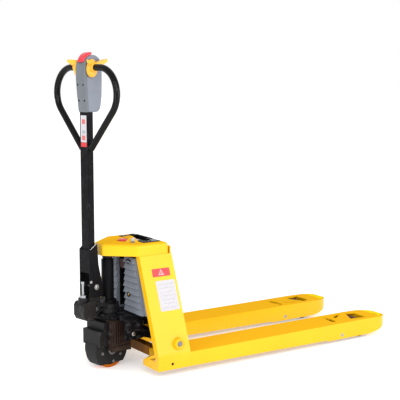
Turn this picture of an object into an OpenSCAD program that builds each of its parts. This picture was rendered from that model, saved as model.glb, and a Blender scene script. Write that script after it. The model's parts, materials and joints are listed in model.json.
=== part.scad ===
// Electric pallet truck with a steered drive unit under a lifting chassis.
// +Z is up, +Y points along the forks to their tips, -Y to the operator.
// The origin lies on the ground, under the middle of the overall box.

/* [Forks] */
// Width over both forks
overall_w = 550; // [520:1:620]
// Length of a fork from the back plate to its tip
fork_len = 1085; // [880:5:1310]
// Width of one fork
fork_w = 152; // [140:1:180]
// Height of the fork deck above the ground, lowered
deck_z = 86; // [84:1:92]
// Thickness of the fork deck
deck_t = 6; // [4:0.5:7]
// Thickness of the fork side webs
web_t = 5; // [3:0.5:7]
// Lower edge of the webs at the heel
web_low_heel = 28; // [24:1:34]
// Lower edge of the webs near the tip
web_low_tip = 15; // [12:1:20]
// Distance from the tip to the step in the lower edge
step_from_tip = 365; // [300:5:420]
// Length of the swept-up nose
nose_l = 150; // [110:1:160]

/* [Lift linkage] */
// Lift travel of the chassis
lift_travel = 115; // [80:1:120]
// Radius of the load rollers
roller_r = 40; // [36:0.5:41]
// Width of the load rollers
roller_w = 88; // [60:1:96]
// Distance from the tip to the roller axle, lowered
roller_from_tip = 155; // [153:1:175]
// Length of the roller yokes from pivot to roller axle
yoke_len = 130; // [120:1:145]
// Height of the yoke pivots
yoke_z = 32; // [28:1:36]
// Radius from yoke pivot to push rod pin
lug_r = 34; // [30:1:36]
// Distance from the back plate forward to the rocker shaft
rocker_back = 50; // [45:1:56]
// Height of the rocker shaft
rocker_z = 125; // [120:1:130]
// Radius of the rocker shaft
rocker_r = 15; // [12:0.5:17]
// Length of the rocker's front arms
arm_len = 128.9; // [120:0.1:132]
// Rise of the front arms above level, lowered
arm_rise = 12.1; // [10:0.1:14]
// Radius of the linkage pins
link_pin_r = 6; // [5:0.5:7]

/* [Chassis] */
// Depth of the chassis body in front of the back plate
body_d = 150; // [142:1:170]
// Half width of the chassis body at its top
body_top_x = 134; // [126:1:150]
// Height where the side panels end and the hood cap begins
panel_top = 462; // [440:1:480]
// Height of the hood cap's top face
hood_z = 508; // [500:1:540]
// Wall of the sheet parts of the body
panel_t = 5; // [4:0.5:6]
// Width of the front flanges
flange_w = 30; // [24:1:36]
// Length of the hood cap's nose in front of the body
nose_out = 115; // [110:1:122]
// Half width of the nose at its front
nose_tip_x = 34; // [28:1:40]

/* [Steering and drive] */
// Distance from the back plate forward to the steering axis
steer_back = 220; // [218:1:226]
// Angle that the tiller and the drive unit are turned to one side
steer_angle = 10; // [0:1:20]
// Radius of the drive wheel
wheel_r = 75; // [70:1:76]
// Width of the drive tyre
wheel_w = 56; // [44:1:58]
// Thickness of the tyre tread
tread_t = 12; // [8:1:16]
// Distance from the steering axis forward to the drive axle
wheel_lead = 10; // [4:1:12]
// Half width of the drive housing
drive_x = 90; // [88:1:91]
// Outer radius of the lift cylinder
cyl_r = 25; // [23:0.5:26]
// Radius of the lift ram
ram_r = 15; // [12:0.5:18]
// Height of the lift cylinder's top
cyl_top = 440; // [420:1:444]

/* [Tiller] */
// Height over everything
overall_h = 1262; // [1180:1:1330]
// Distance from the steering axis forward to the tiller tube
tube_lead = 95; // [93:1:97]
// Width of the tiller tube
tube_w = 50; // [40:1:52]
// Depth of the tiller tube
tube_d = 28; // [22:1:30]
// Height of the tiller pivot
tilt_z = 342; // [338:1:348]
// Distance from the steering axis forward to the tiller pivot
tilt_lead = 82; // [80:1:86]
// Half width of the handle loop at its tube's centre line
loop_x = 187; // [160:1:210]
// Radius of the handle loop's tube
loop_r = 13; // [11:0.5:14]
// Radius of the handle loop's upper corners
loop_bend = 100; // [80:1:110]
// Half width of the control head
head_x = 31; // [29:1:36]
// Wall of the control head's shells
shell_t = 3; // [2:0.5:4]

/* [Fits] */
// Radial clearance of running fits
run_c = 0.08; // [0.02:0.01:0.1]
// Gap between pieces that move past each other
gap = 0.5; // [0.3:0.1:1]
// Gap between moving parts that are not a fit
air = 3; // [2:0.5:3]

/* [Hidden] */
$fn = 48;

YELLOW = "#fcd52a";
BLACK = "#262628";
GREY = "#93959d";
STEEL = "#b9bcc0";
RED = "#d8202e";
ORANGE = "#f08a24";

// Lengthwise places. The front end is the casting's or the loop's foremost point.
casting_lead = 146;
casting_x = 33;
loop_reach = loop_x * sin(steer_angle) + tube_lead * cos(steer_angle) + loop_r;
casting_reach = casting_x * sin(steer_angle) + casting_lead * cos(steer_angle);
front_reach = steer_back + max(loop_reach, casting_reach);
heel_y = (front_reach - fork_len) / 2;
tip_y = heel_y + fork_len;
steer_y = heel_y - steer_back;
rocker_y = heel_y - rocker_back;

// Forks.
outer_x = overall_w / 2;
inner_x = outer_x - fork_w;
fork_x = outer_x - fork_w / 2;
deck_low = deck_z - deck_t;

// Linkage. Each arm swings by the same amount to both sides of its middle place.
arm_swing = arm_rise + asin((lift_travel - arm_len * sin(arm_rise)) / arm_len);
yoke_drop = roller_r - yoke_z;
yoke_base = asin(yoke_drop / yoke_len);
yoke_swing = yoke_base + asin((lift_travel - yoke_drop) / yoke_len);
rod_travel = 2 * lug_r * sin(yoke_swing / 2);
low_arm = rod_travel / (2 * sin(arm_swing / 2));
roller_y = tip_y - roller_from_tip;
yoke_y = roller_y - sqrt(yoke_len * yoke_len - yoke_drop * yoke_drop);
arm_pin_y = rocker_y - arm_len * cos(arm_rise);
arm_pin_z = rocker_z + arm_len * sin(arm_rise);
rod_pin_y = rocker_y - low_arm * sin(arm_swing / 2);
rod_pin_z = rocker_z - low_arm * cos(arm_swing / 2);
lug_pin_y = yoke_y - lug_r * sin(yoke_swing / 2);
lug_pin_z = yoke_z + lug_r * cos(yoke_swing / 2);
lug_rise = lug_r * (1 - cos(yoke_swing / 2));
low_drop = low_arm * (1 - cos(arm_swing / 2));
arm_x = 109;
arm_t = 8;
ear_x = arm_x + arm_t + 2;
ear_t = 8;

// Body outline in X and Z: vertical up to the deck, then leaning inward.
function panel_x(z) = outer_x - (outer_x - body_top_x) * max(0, z - deck_z) / (panel_top - deck_z);
function lean_poly(in0, in1, z0, z1) = concat(
    [[panel_x(z0) - in1, z0], [panel_x(z0) - in0, z0]],
    z0 < deck_z ? [[outer_x - in0, deck_z]] : [],
    [[panel_x(z1) - in0, z1], [panel_x(z1) - in1, z1]],
    z0 < deck_z ? [[outer_x - in1, deck_z]] : []);
function arc(cx, cy, rx, ry, a0, a1, n = 8) =
    [for (i = [0:n]) let (a = a0 + (a1 - a0) * i / n) [cx + rx * cos(a), cy + ry * sin(a)]];
function flip(pts) = [for (i = [len(pts) - 1:-1:0]) [-pts[i][0], pts[i][1]]];

// Drive unit, in the steered frame: x across, y from the steering axis.
wheel_y = -wheel_lead;
plate_low = 205;
plate_top = 225;
shaft_r = 30;
gear_r = 56;
rotor_z = wheel_r + 90;
rotor_y = 2;
gear_dist = sqrt(pow(rotor_y - wheel_y, 2) + pow(rotor_z - wheel_r, 2));
pinion_r = gear_dist - gear_r - gap;
axle_r = 12;
bearing_r = 20;
leg_x = wheel_w / 2 + 6;
leg_t = 6;
fork_back = 47;
fork_front = -42;
housing_low = 156;
housing_top = 203;
motor_r = 34;
shaft7 = 7;

// Tiller, in the steered frame.
tube_y = -tube_lead;
tilt_y = -tilt_lead;
bracket_x = 33;
limit_y = -124;
limit_z = 300;
bracket_t = 4;
head_low = 1030;
bar_z = overall_h - 60;
sleeve_r = 17;
split_y = -88;
belly_y = -97;
belly_z = bar_z + 31;
belly_r = 29;
belly_x = head_x - 12;
belly_travel = 6;
button_zs = [bar_z - 27, bar_z - 62, bar_z - 97];

module xz_slab(pts, y0, y1) {
    translate([0, y1, 0]) rotate([90, 0, 0]) linear_extrude(y1 - y0) polygon(pts);
}
module yz_slab(pts, x0, x1) {
    translate([x0, 0, 0]) rotate([90, 0, 90]) linear_extrude(x1 - x0) polygon(pts);
}
module box(x0, x1, y0, y1, z0, z1) {
    translate([x0, y0, z0]) cube([x1 - x0, y1 - y0, z1 - z0]);
}
module rod_x(x0, x1, y, z, r) {
    translate([x0, y, z]) rotate([0, 90, 0]) cylinder(r = r, h = x1 - x0);
}
module rod_y(x, y0, y1, z, r) {
    translate([x, y1, z]) rotate([90, 0, 0]) cylinder(r = r, h = y1 - y0);
}
module rod_z(x, y, z0, z1, r) {
    translate([x, y, z0]) cylinder(r = r, h = z1 - z0);
}
module both() {
    children();
    mirror([1, 0, 0]) children();
}
module steered() {
    translate([0, steer_y, 0]) rotate([0, 0, steer_angle]) children();
}
module stadium(len, r) {
    translate([-len / 2, 0]) circle(r);
    translate([len / 2, 0]) circle(r);
    square([len, 2 * r], center = true);
}

// ---- Forks ----
module fork_plan() {
    polygon(concat(
        [[inner_x, heel_y], [outer_x, heel_y]],
        arc(outer_x - 66, tip_y - 72, 66, 72, 0, 90),
        arc(inner_x + 80, tip_y - 92, 80, 92, 90, 180)));
}
module fork_side() {
    step_y = tip_y - step_from_tip;
    yz_slab(concat(
        [[heel_y, web_low_heel], [heel_y, deck_z], [tip_y - nose_l, deck_z], [tip_y - 10, deck_z - 3],
         [tip_y, deck_z - 12]],
        arc(tip_y - nose_l, web_low_tip + 56, nose_l, 56, 0, -90, 12),
        [[step_y, web_low_tip], [step_y - 10, web_low_tip + 5]]),
        inner_x, outer_x);
}
module deck_slot(x, y, turn, len, r) {
    translate([x, y, deck_low - 1]) rotate([0, 0, turn]) linear_extrude(deck_t + 2) stadium(len, r);
}
module fork_channel() {
    win = roller_y;
    difference() {
        intersection() {
            translate([0, 0, web_low_tip - 1]) linear_extrude(deck_z) fork_plan();
            fork_side();
        }
        box(inner_x + web_t, outer_x - web_t, heel_y - 1, roller_y + roller_r + air,
            web_low_tip - 2, deck_low);
        translate([fork_x, win, deck_low - 1]) linear_extrude(deck_t + 2)
            polygon([[-54, 0], [-38, 38], [50, 36], [38, -48]]);
        deck_slot(fork_x - 32, win - 72, 122, 52, 8);
        deck_slot(fork_x + 8, win - 138, -8, 44, 12);
        deck_slot(fork_x - 38, win - 134, 20, 12, 9);
        for (x = [inner_x - 1, outer_x - web_t - 1])
            rod_x(x, x + web_t + 2, yoke_y, yoke_z, 8);
    }
}
module fork_channel_right() { color(YELLOW) fork_channel(); }
module fork_channel_left() { color(YELLOW) mirror([1, 0, 0]) fork_channel(); }

// ---- Chassis body ----
front_y = heel_y - body_d;
plate_z = hood_z - 18;
module side_panel() {
    boss_r = rocker_r + 8;
    difference() {
        union() {
            // leaning side plate, its front flange and its rear flange
            xz_slab(lean_poly(0, panel_t, web_low_heel, panel_top), front_y, heel_y);
            xz_slab(lean_poly(0, flange_w, deck_z + 4, panel_top), front_y, front_y + panel_t);
            xz_slab(lean_poly(0, 12, deck_z, panel_top), heel_y - 2 * panel_t, heel_y - panel_t);
            // heel: front plate, slanted inner wall and inner web
            xz_slab([[inner_x + 34, web_low_heel], [outer_x, web_low_heel], [outer_x, deck_z + 4],
                     [outer_x - flange_w, deck_z + 4], [inner_x + 34, deck_z - 34]],
                    front_y, front_y + panel_t);
            translate([0, 0, web_low_heel]) linear_extrude(deck_z - 36 - web_low_heel)
                polygon([[inner_x, heel_y - 100], [inner_x + 34, front_y], [inner_x + 40, front_y],
                         [inner_x + web_t, heel_y - 98]]);
            box(inner_x, inner_x + web_t, heel_y - 100, heel_y, web_low_heel, deck_low);
            // boss that carries the rocker shaft
            rod_x(panel_x(rocker_z) - 16, outer_x, rocker_y, rocker_z, boss_r);
        }
        rod_x(inner_x, outer_x + 1, rocker_y, rocker_z, rocker_r + 4);
        xz_slab([[outer_x - 66, deck_z - 22], [outer_x - 24, deck_z - 22], [outer_x - 24, deck_z - 4]],
                front_y - 1, front_y + panel_t + 1);
        rod_x(outer_x - panel_t - 1, outer_x + 1, heel_y - 85, 50, 6);
    }
}
module side_panel_right() { color(YELLOW) side_panel(); }
module side_panel_left() { color(YELLOW) mirror([1, 0, 0]) side_panel(); }

module back_plate() {
    z0 = deck_z + 0.2;
    color(YELLOW) both() xz_slab([
        [0, deck_low - 10], [inner_x - gap, deck_low - 10], [inner_x - gap, z0],
        [panel_x(z0) - panel_t, z0], [panel_x(panel_top) - panel_t, panel_top],
        [panel_x(panel_top) - panel_t, plate_z], [0, plate_z]], heel_y - panel_t, heel_y);
}
module cross_member() {
    color(YELLOW) difference() {
        box(-inner_x, inner_x, heel_y - 80, heel_y - 45, 38, 76);
        box(-inner_x - 1, inner_x + 1, heel_y - 75, heel_y - 50, 43, 71);
    }
}

nose_y = front_y - nose_out;
function cap_half(in) = concat(
    arc(nose_tip_x - 14, nose_y + 16 , 16 - in, 16 - in, -90, -30, 4),
    arc(body_top_x - 10 - 12, front_y + 12, 20 - in, 20 - in, -52, 0, 4),
    [[body_top_x - 2 - in, heel_y - 12 - in]]);
module cap_plan(in) {
    half = cap_half(in);
    polygon(concat(half, flip(half)));
}
battery_x = 100;
battery_y0 = heel_y - 110;
battery_y1 = heel_y - 30;
estop_y = heel_y - 146;
arch_x = 8;
arch_half = 58;
arch_rise = 18;
well_d = 8;
well_r = 29;
module hood_cap() {
    color(YELLOW) difference() {
        union() {
            translate([0, 0, panel_top]) linear_extrude(hood_z - panel_top) cap_plan(0);
            // raised arch behind the stop button
            xz_slab(arc(arch_x, hood_z - 3, arch_half, arch_rise + 3, 0, 180, 12), estop_y + 20, battery_y0 - 3);
        }
        difference() {
            translate([0, 0, panel_top - 1]) linear_extrude(hood_z - panel_top - 3) cap_plan(4);
            // cup that the stop button stands in
            rod_z(0, estop_y, hood_z - well_d - 4, hood_z, well_r);
        }
        rod_z(0, estop_y, hood_z - well_d, hood_z + arch_rise + 1, well_r - 3);
        box(-battery_x - gap, battery_x + gap, battery_y0 - gap, battery_y1 + gap, panel_top, hood_z + 1);
        rod_z(0, estop_y, hood_z - well_d - 5, hood_z, 8);
        rod_z(0, steer_y, hood_z - 10, hood_z + 10, 5);
        rod_z(key_x, key_y, hood_z - 10, hood_z + 10, 9);
    }
}

rib_n = 9;
cover_low = 228;
cover_top = panel_top - 12;
rib_h = (cover_top - cover_low) / rib_n;
cover_y = front_y - 8;
screw_x = 69;
module cover_tower() {
    z0 = cover_low;
    intersection() {
        union() {
            yz_slab(concat(
                [[front_y + 22, cover_top], [front_y + 22, z0]],
                [for (i = [0:rib_n - 1], k = [0, 1])
                    [cover_y + (k == 0 ? 0 : 5), z0 + rib_h * (i + k) - (k == 0 ? 0 : 0.01)]]),
                28, outer_x);
        }
        xz_slab([[28, z0], [panel_x(z0) - flange_w - 26, z0], [panel_x(cover_top) - flange_w - 4, cover_top],
                 [28, cover_top]], front_y - 40, front_y + 40);
    }
    // slanted flank behind the flange
    xz_slab([[panel_x(z0) - flange_w - 30, z0], [panel_x(z0) - flange_w + 4, z0],
             [panel_x(cover_top) - flange_w + 4, cover_top], [panel_x(cover_top) - flange_w - 8, cover_top]],
            front_y + panel_t + gap, front_y + panel_t + 10);
}
module front_cover() {
    color(GREY) difference() {
        union() {
            both() cover_tower();
            both() box(26, 31, front_y - 2, front_y + 26, cover_low, cover_top);
            box(-31, 31, front_y + 22, front_y + 26, cover_low, cover_top);
        }
        both() rod_y(screw_x, front_y - 20, front_y + 6, 300, 9);
        both() rod_y(screw_x, front_y - 20, front_y + 30, 300, 3);
    }
}
module cover_screws() {
    color(STEEL) both() {
        rod_y(screw_x, front_y + 1, front_y + 6, 300, 6);
        rod_y(screw_x, front_y + 5, front_y + 21, 300, 3);
    }
}

tray_z = 300;
module battery_tray() {
    color(BLACK) difference() {
        box(-battery_x - 6, battery_x + 6, heel_y - 122, heel_y - panel_t, tray_z, tray_z + 60);
        box(-battery_x - 2, battery_x + 2, battery_y0 - 1, battery_y1 + 1, tray_z + 4, tray_z + 61);
    }
}
module battery_pack() {
    color(BLACK) difference() {
        union() {
            box(-battery_x, battery_x, battery_y0, battery_y1, tray_z + 4.2, hood_z + 2);
            // rails that hold the handle's ends
            both() box(62, 74, battery_y0 + 34, battery_y0 + 54, hood_z + 1, hood_z + 9);
        }
        box(-60, 60, battery_y0 + 26, battery_y0 + 62, hood_z - 10, hood_z + 3);
        rod_x(-80, 80, battery_y0 + 44, hood_z + 5, 2.6);
    }
}
module battery_handle() {
    color(BLACK) {
        both() rod_x(54, 75, battery_y0 + 44, hood_z + 5, 2.5);
        both() box(52, 60, battery_y0 + 41, battery_y0 + 64, hood_z + 2.5, hood_z + 7.5);
        box(-60, 60, battery_y0 + 58, battery_y0 + 66, hood_z + 2.4, hood_z + 8);
    }
}
module controller() {
    color(STEEL) {
        box(-70, 70, heel_y - 28, heel_y - panel_t, 190, 292);
        for (i = [-6:6]) box(i * 10 - 2, i * 10 + 2, heel_y - 34, heel_y - 27, 195, 287);
    }
}
module hydraulic_tank() {
    color(BLACK) {
        box(-95, -15, heel_y - 98, heel_y - 42, 168, 280);
        box(-95, -15, heel_y - 42, heel_y - panel_t, 168, 184);
        rod_z(-76, heel_y - 70, 279, 290, 10);
    }
}
module pump_motor() {
    color(BLACK) {
        rod_z(48, heel_y - 70, 184, 285, 27);
        box(-15, 76, heel_y - 97, heel_y - panel_t, 168, 185);
    }
}
module horn() {
    color("#4a1416") {
        rod_y(0, front_y - 4, front_y + 14, 415, 20);
        rod_y(0, front_y + 13, front_y + 22, 415, 6);
    }
}
key_x = 70;
key_y = heel_y - 142;
module key_switch() {
    color(STEEL) difference() {
        rod_z(key_x, key_y, hood_z - 22, hood_z + 4, 9 - gap);
        box(key_x - 5, key_x + 5, key_y - 5, key_y + 5, hood_z - 8, hood_z + 5);
    }
}
module ignition_key() {
    color(STEEL) {
        rod_z(key_x, key_y, hood_z - 7.5, hood_z + 8, 3);
        box(key_x - 2, key_x + 2, key_y - 8, key_y + 8, hood_z + 5, hood_z + 20);
    }
}
module estop_knob() {
    color(RED) {
        rod_z(0, estop_y, hood_z, hood_z + 10, 21);
        rod_z(0, estop_y, hood_z - 24, hood_z + 1, 8 - run_c);
    }
}

// ---- Lift linkage ----
module rocker_bushes() {
    color(STEEL) both() difference() {
        rod_x(panel_x(rocker_z) - 16, outer_x, rocker_y, rocker_z, rocker_r + 4);
        rod_x(panel_x(rocker_z) - 17, outer_x - 3, rocker_y, rocker_z, rocker_r + run_c);
    }
}
module link_plate(len, r) {
    circle(r);
    translate([len, 0]) circle(r);
    translate([0, -r]) square([len, 2 * r]);
}
module rocker_shaft() {
    end_x = outer_x - 3 - gap;
    color(BLACK) {
        rod_x(-end_x, end_x, rocker_y, rocker_z, rocker_r);
        both() {
            translate([arm_x, rocker_y, rocker_z]) rotate([90, 0, 90]) rotate(180 - arm_rise)
                linear_extrude(arm_t) link_plate(arm_len, 12);
            rod_x(arm_x, ear_x + ear_t + 2, arm_pin_y, arm_pin_z, link_pin_r);
            translate([fork_x - 13, rocker_y, rocker_z]) rotate([90, 0, 90])
                rotate(-90 - arm_swing / 2) linear_extrude(10) link_plate(low_arm, 11);
            rod_x(fork_x - 13, fork_x + 13, rod_pin_y, rod_pin_z, link_pin_r);
        }
    }
}
rod_half = 8;
rod_mid_z = lug_pin_z + lug_rise / 2;
module push_rod() {
    difference() {
        union() {
            box(fork_x, fork_x + 10, rod_pin_y - 16, lug_pin_y + 16, rod_mid_z - rod_half, rod_mid_z + rod_half);
            box(fork_x, fork_x + 10, rod_pin_y - 16, rod_pin_y + 16, rod_mid_z - rod_half,
                rod_pin_z + link_pin_r + 8);
            box(fork_x, fork_x + 10, lug_pin_y - 14, lug_pin_y + 14, rod_mid_z - 13, rod_mid_z + 11);
        }
        // upright slots take up the arc of each pin
        slot_hole(rod_pin_y, rod_pin_z - low_drop / 2, low_drop / 2);
        slot_hole(lug_pin_y, rod_mid_z, lug_rise / 2);
    }
}
module slot_hole(y, z, half) {
    r = link_pin_r + gap;
    rod_x(fork_x - 1, fork_x + 11, y, z - half, r);
    rod_x(fork_x - 1, fork_x + 11, y, z + half, r);
    box(fork_x - 1, fork_x + 11, y - r, y + r, z - half, z + half);
}
module push_rod_right() { color(BLACK) push_rod(); }
module push_rod_left() { color(BLACK) mirror([1, 0, 0]) push_rod(); }

yoke_side = roller_w / 2 + 2;
yoke_t = 6;
module yoke() {
    difference() {
        union() {
            for (x = [fork_x - yoke_side - yoke_t, fork_x + yoke_side])
                translate([x, yoke_y, yoke_z]) rotate([90, 0, 90]) rotate(yoke_base)
                    linear_extrude(yoke_t) link_plate(yoke_len, 13);
            // pivot tube and the lug that the rod pushes
            rod_x(fork_x - yoke_side - 1, fork_x + yoke_side + 1, yoke_y, yoke_z, 14);
            translate([fork_x - 12, yoke_y, yoke_z]) rotate([90, 0, 90])
                rotate(90 + yoke_swing / 2) linear_extrude(10) link_plate(lug_r, 9);
            rod_x(fork_x - 12, fork_x + 13, lug_pin_y, lug_pin_z, link_pin_r - 1);
            // roller axle
            rod_x(fork_x - yoke_side - 1, fork_x + yoke_side + 1, roller_y, roller_r, 10);
        }
        rod_x(inner_x, outer_x, yoke_y, yoke_z, 8 + run_c);
    }
}
module yoke_right() { color(BLACK) yoke(); }
module yoke_left() { color(BLACK) mirror([1, 0, 0]) yoke(); }
module yoke_pins() {
    color(STEEL) both() rod_x(inner_x, outer_x, yoke_y, yoke_z, 8);
}
module load_roller() {
    difference() {
        rod_x(fork_x - roller_w / 2, fork_x + roller_w / 2, roller_y, roller_r, roller_r);
        rod_x(fork_x - roller_w, fork_x + roller_w, roller_y, roller_r, 10 + run_c);
    }
}
module load_roller_right() { color(ORANGE) load_roller(); }
module load_roller_left() { color(ORANGE) mirror([1, 0, 0]) load_roller(); }

ram_low = 270;
module lift_ram() {
    color(STEEL) {
        rod_z(0, steer_y, ram_low, hood_z - 4, ram_r);
        rod_z(0, steer_y, hood_z - 14, hood_z - 4, 26);
    }
}

// ---- Carriage: rises and falls with the drive unit, does not turn ----
slot_back = rocker_y - arm_len * cos(arm_swing - arm_rise);
slot_front = rocker_y - arm_len;
module carriage_bracket() {
    out = ear_x + ear_t;
    ear_y0 = slot_front - 34;
    ear_y1 = slot_back + 12;
    color(BLACK) difference() {
        union() {
            translate([0, 0, plate_low]) linear_extrude(plate_top - plate_low) union() {
                translate([0, steer_y]) circle(58);
                polygon([[-58, steer_y], [58, steer_y], [out, ear_y0], [out, ear_y1],
                         [-out, ear_y1], [-out, ear_y0]]);
            }
            both() box(ear_x, out, ear_y0, ear_y1, arm_pin_z - 22, plate_top);
        }
        rod_z(0, steer_y, plate_low - 1, plate_top + 1, shaft_r + run_c);
        both() {
            r = link_pin_r + 4.5;
            rod_x(ear_x - 1, out + 1, slot_front, arm_pin_z, r);
            rod_x(ear_x - 1, out + 1, slot_back, arm_pin_z, r);
            box(ear_x - 1, out + 1, slot_front, slot_back, arm_pin_z - r, arm_pin_z + r);
        }
    }
}
module thrust_bearings() {
    color(STEEL) steered() difference() {
        rod_z(0, 0, plate_top, 245, 46);
        rod_z(0, 0, plate_top - 1, 246, shaft_r + run_c);
    }
}
// ---- Steered drive unit ----
module steer_shaft() {
    color(STEEL) steered() rod_z(0, 0, housing_top, 262, shaft_r);
}
module base_casting() {
    z1 = 262;
    arm = [[0, 246], [-50, 246], [-100, 222], [-100, 288], [-60, 275], [0, z1]];
    color(BLACK) steered() difference() {
        union() {
            rod_z(0, 0, 245.3, z1, 44);
            // arms out to the front block
            yz_slab(arm, -33, -22);
            yz_slab(arm, 22, 33);
            // front block that the limit bolt stands on
            yz_slab([[-96, 206], [-136, 214], [-casting_lead, 232], [-casting_lead, 272], [-138, 284],
                     [-96, 290]], -casting_x, casting_x);
            rod_z(0, limit_y, 276, limit_z, 20);
            // lugs of the tiller pivot
            for (x = [-28, 16]) translate([x, 0, 0]) rotate([90, 0, 90]) linear_extrude(12) {
                translate([tilt_y, tilt_z]) circle(17);
                polygon([[tilt_y - 17, tilt_z], [tilt_y + 17, tilt_z], [-58, 274], [-118, 274]]);
            }
        }
        rod_z(0, 0, 240, z1 + 1, shaft_r);
        rod_z(0, 0, z1, z1 + 30, cyl_r + 9);
        yz_slab([[-44, 262], [-86, 270], [-86, 236], [-44, 250]], -34, 34);
        rod_x(-40, 40, tilt_y, tilt_z, 8);
    }
}
module lift_cylinder() {
    color(BLACK) steered() difference() {
        union() {
            rod_z(0, 0, 262, cyl_top, cyl_r);
            rod_z(0, 0, 262, 276, cyl_r + 9);
        }
        rod_z(0, 0, ram_low - 4 , cyl_top + 1, ram_r + 4);
    }
}
module cylinder_gland() {
    color(STEEL) steered() difference() {
        rod_z(0, 0, ram_low - 4 + lift_travel + 20, cyl_top + 6, ram_r + 4);
        rod_z(0, 0, ram_low, cyl_top + 7, ram_r + run_c);
    }
}
module drive_housing() {
    color(BLACK) steered() difference() {
        union() {
            box(-leg_x - leg_t, leg_x + leg_t, fork_front, fork_back, housing_low, housing_top);
            for (x = [-leg_x - leg_t, leg_x])
                yz_slab(concat([[fork_back, housing_low + 1], [fork_front, housing_low + 1]],
                        arc(wheel_y, wheel_r, 26, 26, 180, 360, 10)), x, x + leg_t);
        }
        rod_x(-drive_x, drive_x, wheel_y, wheel_r, bearing_r);
        rod_x(-drive_x, drive_x, rotor_y, rotor_z, shaft7 + gap);
    }
}
motor_low = 75;
module drive_motor() {
    x0 = leg_x + leg_t;
    fin_n = 8;
    pitch = (fork_back - fork_front) / fin_n;
    color(BLACK) steered() difference() {
        union() {
            box(x0, drive_x - 6, fork_front, fork_back, motor_low + 22, housing_top);
            yz_slab([[fork_front, motor_low + 6], [fork_back, motor_low], [fork_back, motor_low + 23],
                     [fork_front, motor_low + 23]], x0 + 14, drive_x - 3);
            for (i = [0:fin_n - 1])
                box(drive_x - 7, drive_x, fork_front + pitch * (i + 0.25), fork_front + pitch * (i + 0.75),
                    motor_low + 34, housing_top - 4);
        }
        rod_x(x0 + 3, drive_x - 9, rotor_y, rotor_z, motor_r + gap);
        rod_x(x0 - 1, x0 + 4, rotor_y, rotor_z, shaft7 + gap);
        rod_x(x0 - 1, x0 + 12, wheel_y, wheel_r, axle_r + 3);
    }
}
gear_x = -leg_x - leg_t;
module gearbox_cover() {
    color(BLACK) steered() difference() {
        union() {
            rod_x(gear_x - 24, gear_x, wheel_y, wheel_r, gear_r + 5);
            box(gear_x - 24, gear_x, fork_front, fork_back, 110, housing_top);
        }
        rod_x(gear_x - 20, gear_x + 1, wheel_y, wheel_r, gear_r + 1);
        rod_x(gear_x - 20, gear_x + 1, rotor_y, rotor_z, pinion_r + 1);
        rod_x(gear_x - 30, gear_x + 1, rotor_y, rotor_z, shaft7 + gap);
    }
}
module drive_gear() {
    color(STEEL) steered() difference() {
        rod_x(gear_x - 18, gear_x - 2, wheel_y, wheel_r, gear_r);
        rod_x(gear_x - 30, gear_x + 1, wheel_y, wheel_r, axle_r);
    }
}
module motor_rotor() {
    color(STEEL) steered() {
        rod_x(leg_x + leg_t + 6, drive_x - 12, rotor_y, rotor_z, motor_r);
        rod_x(gear_x - 36, drive_x - 11, rotor_y, rotor_z, shaft7);
        rod_x(gear_x - 18, gear_x - 2, rotor_y, rotor_z, pinion_r);
    }
}
module brake_unit() {
    color(BLACK) steered() difference() {
        rod_x(gear_x - 46, gear_x - 24, rotor_y, rotor_z, 31);
        rod_x(gear_x - 40, gear_x - 23, rotor_y, rotor_z, shaft7 + gap);
    }
}
module drive_cover() {
    r = wheel_r + 8;
    color(BLACK) steered() difference() {
        union() {
            box(-55, 55, -86, fork_front, 100, 162);
            box(-55, 55, fork_front - 24, fork_front, 162, 196);
        }
        rod_x(-38, 38, wheel_y, wheel_r, r);
        rod_x(-drive_x, gear_x + 1, wheel_y, wheel_r, gear_r + 5 + gap);
    }
}
module wheel_fender() {
    r0 = wheel_r + 3;
    side = wheel_w / 2 + 2.5;
    color(BLACK) steered() difference() {
        rod_x(-side - 3, side + 3, wheel_y, wheel_r, r0 + 3.5);
        rod_x(-side, side, wheel_y, wheel_r, r0);
        rod_x(-side - 4, side + 4, wheel_y, wheel_r, 22);
        box(-40, 40, -120, 100, -10, 18);
        box(-40, 40, -120, 100, 130, 170);
    }
}
module drive_axle() {
    color(STEEL) steered() rod_x(gear_x - 18, leg_x + leg_t, wheel_y, wheel_r, axle_r);
}
module drive_bearings() {
    color(STEEL) steered() for (x = [-leg_x - leg_t, leg_x]) difference() {
        rod_x(x, x + leg_t, wheel_y, wheel_r, bearing_r);
        rod_x(x - 1, x + leg_t + 1, wheel_y, wheel_r, axle_r + run_c);
    }
}
module drive_hub() {
    color(BLACK) steered() difference() {
        rod_x(-wheel_w / 2 + 1, wheel_w / 2 - 1, wheel_y, wheel_r, wheel_r - tread_t);
        rod_x(-wheel_w, wheel_w, wheel_y, wheel_r, axle_r);
    }
}
module drive_tyre() {
    color(ORANGE) steered() difference() {
        rod_x(-wheel_w / 2, wheel_w / 2, wheel_y, wheel_r, wheel_r);
        rod_x(-wheel_w, wheel_w, wheel_y, wheel_r, wheel_r - tread_t);
    }
}
module limit_bolt() {
    color(STEEL) steered() {
        rod_z(0, limit_y, limit_z, limit_z + 62, 5);
        translate([0, limit_y, limit_z]) cylinder(r = 15, h = 11, $fn = 6);
        rod_z(0, limit_y, limit_z + 56, limit_z + 66, 8);
    }
}

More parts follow.
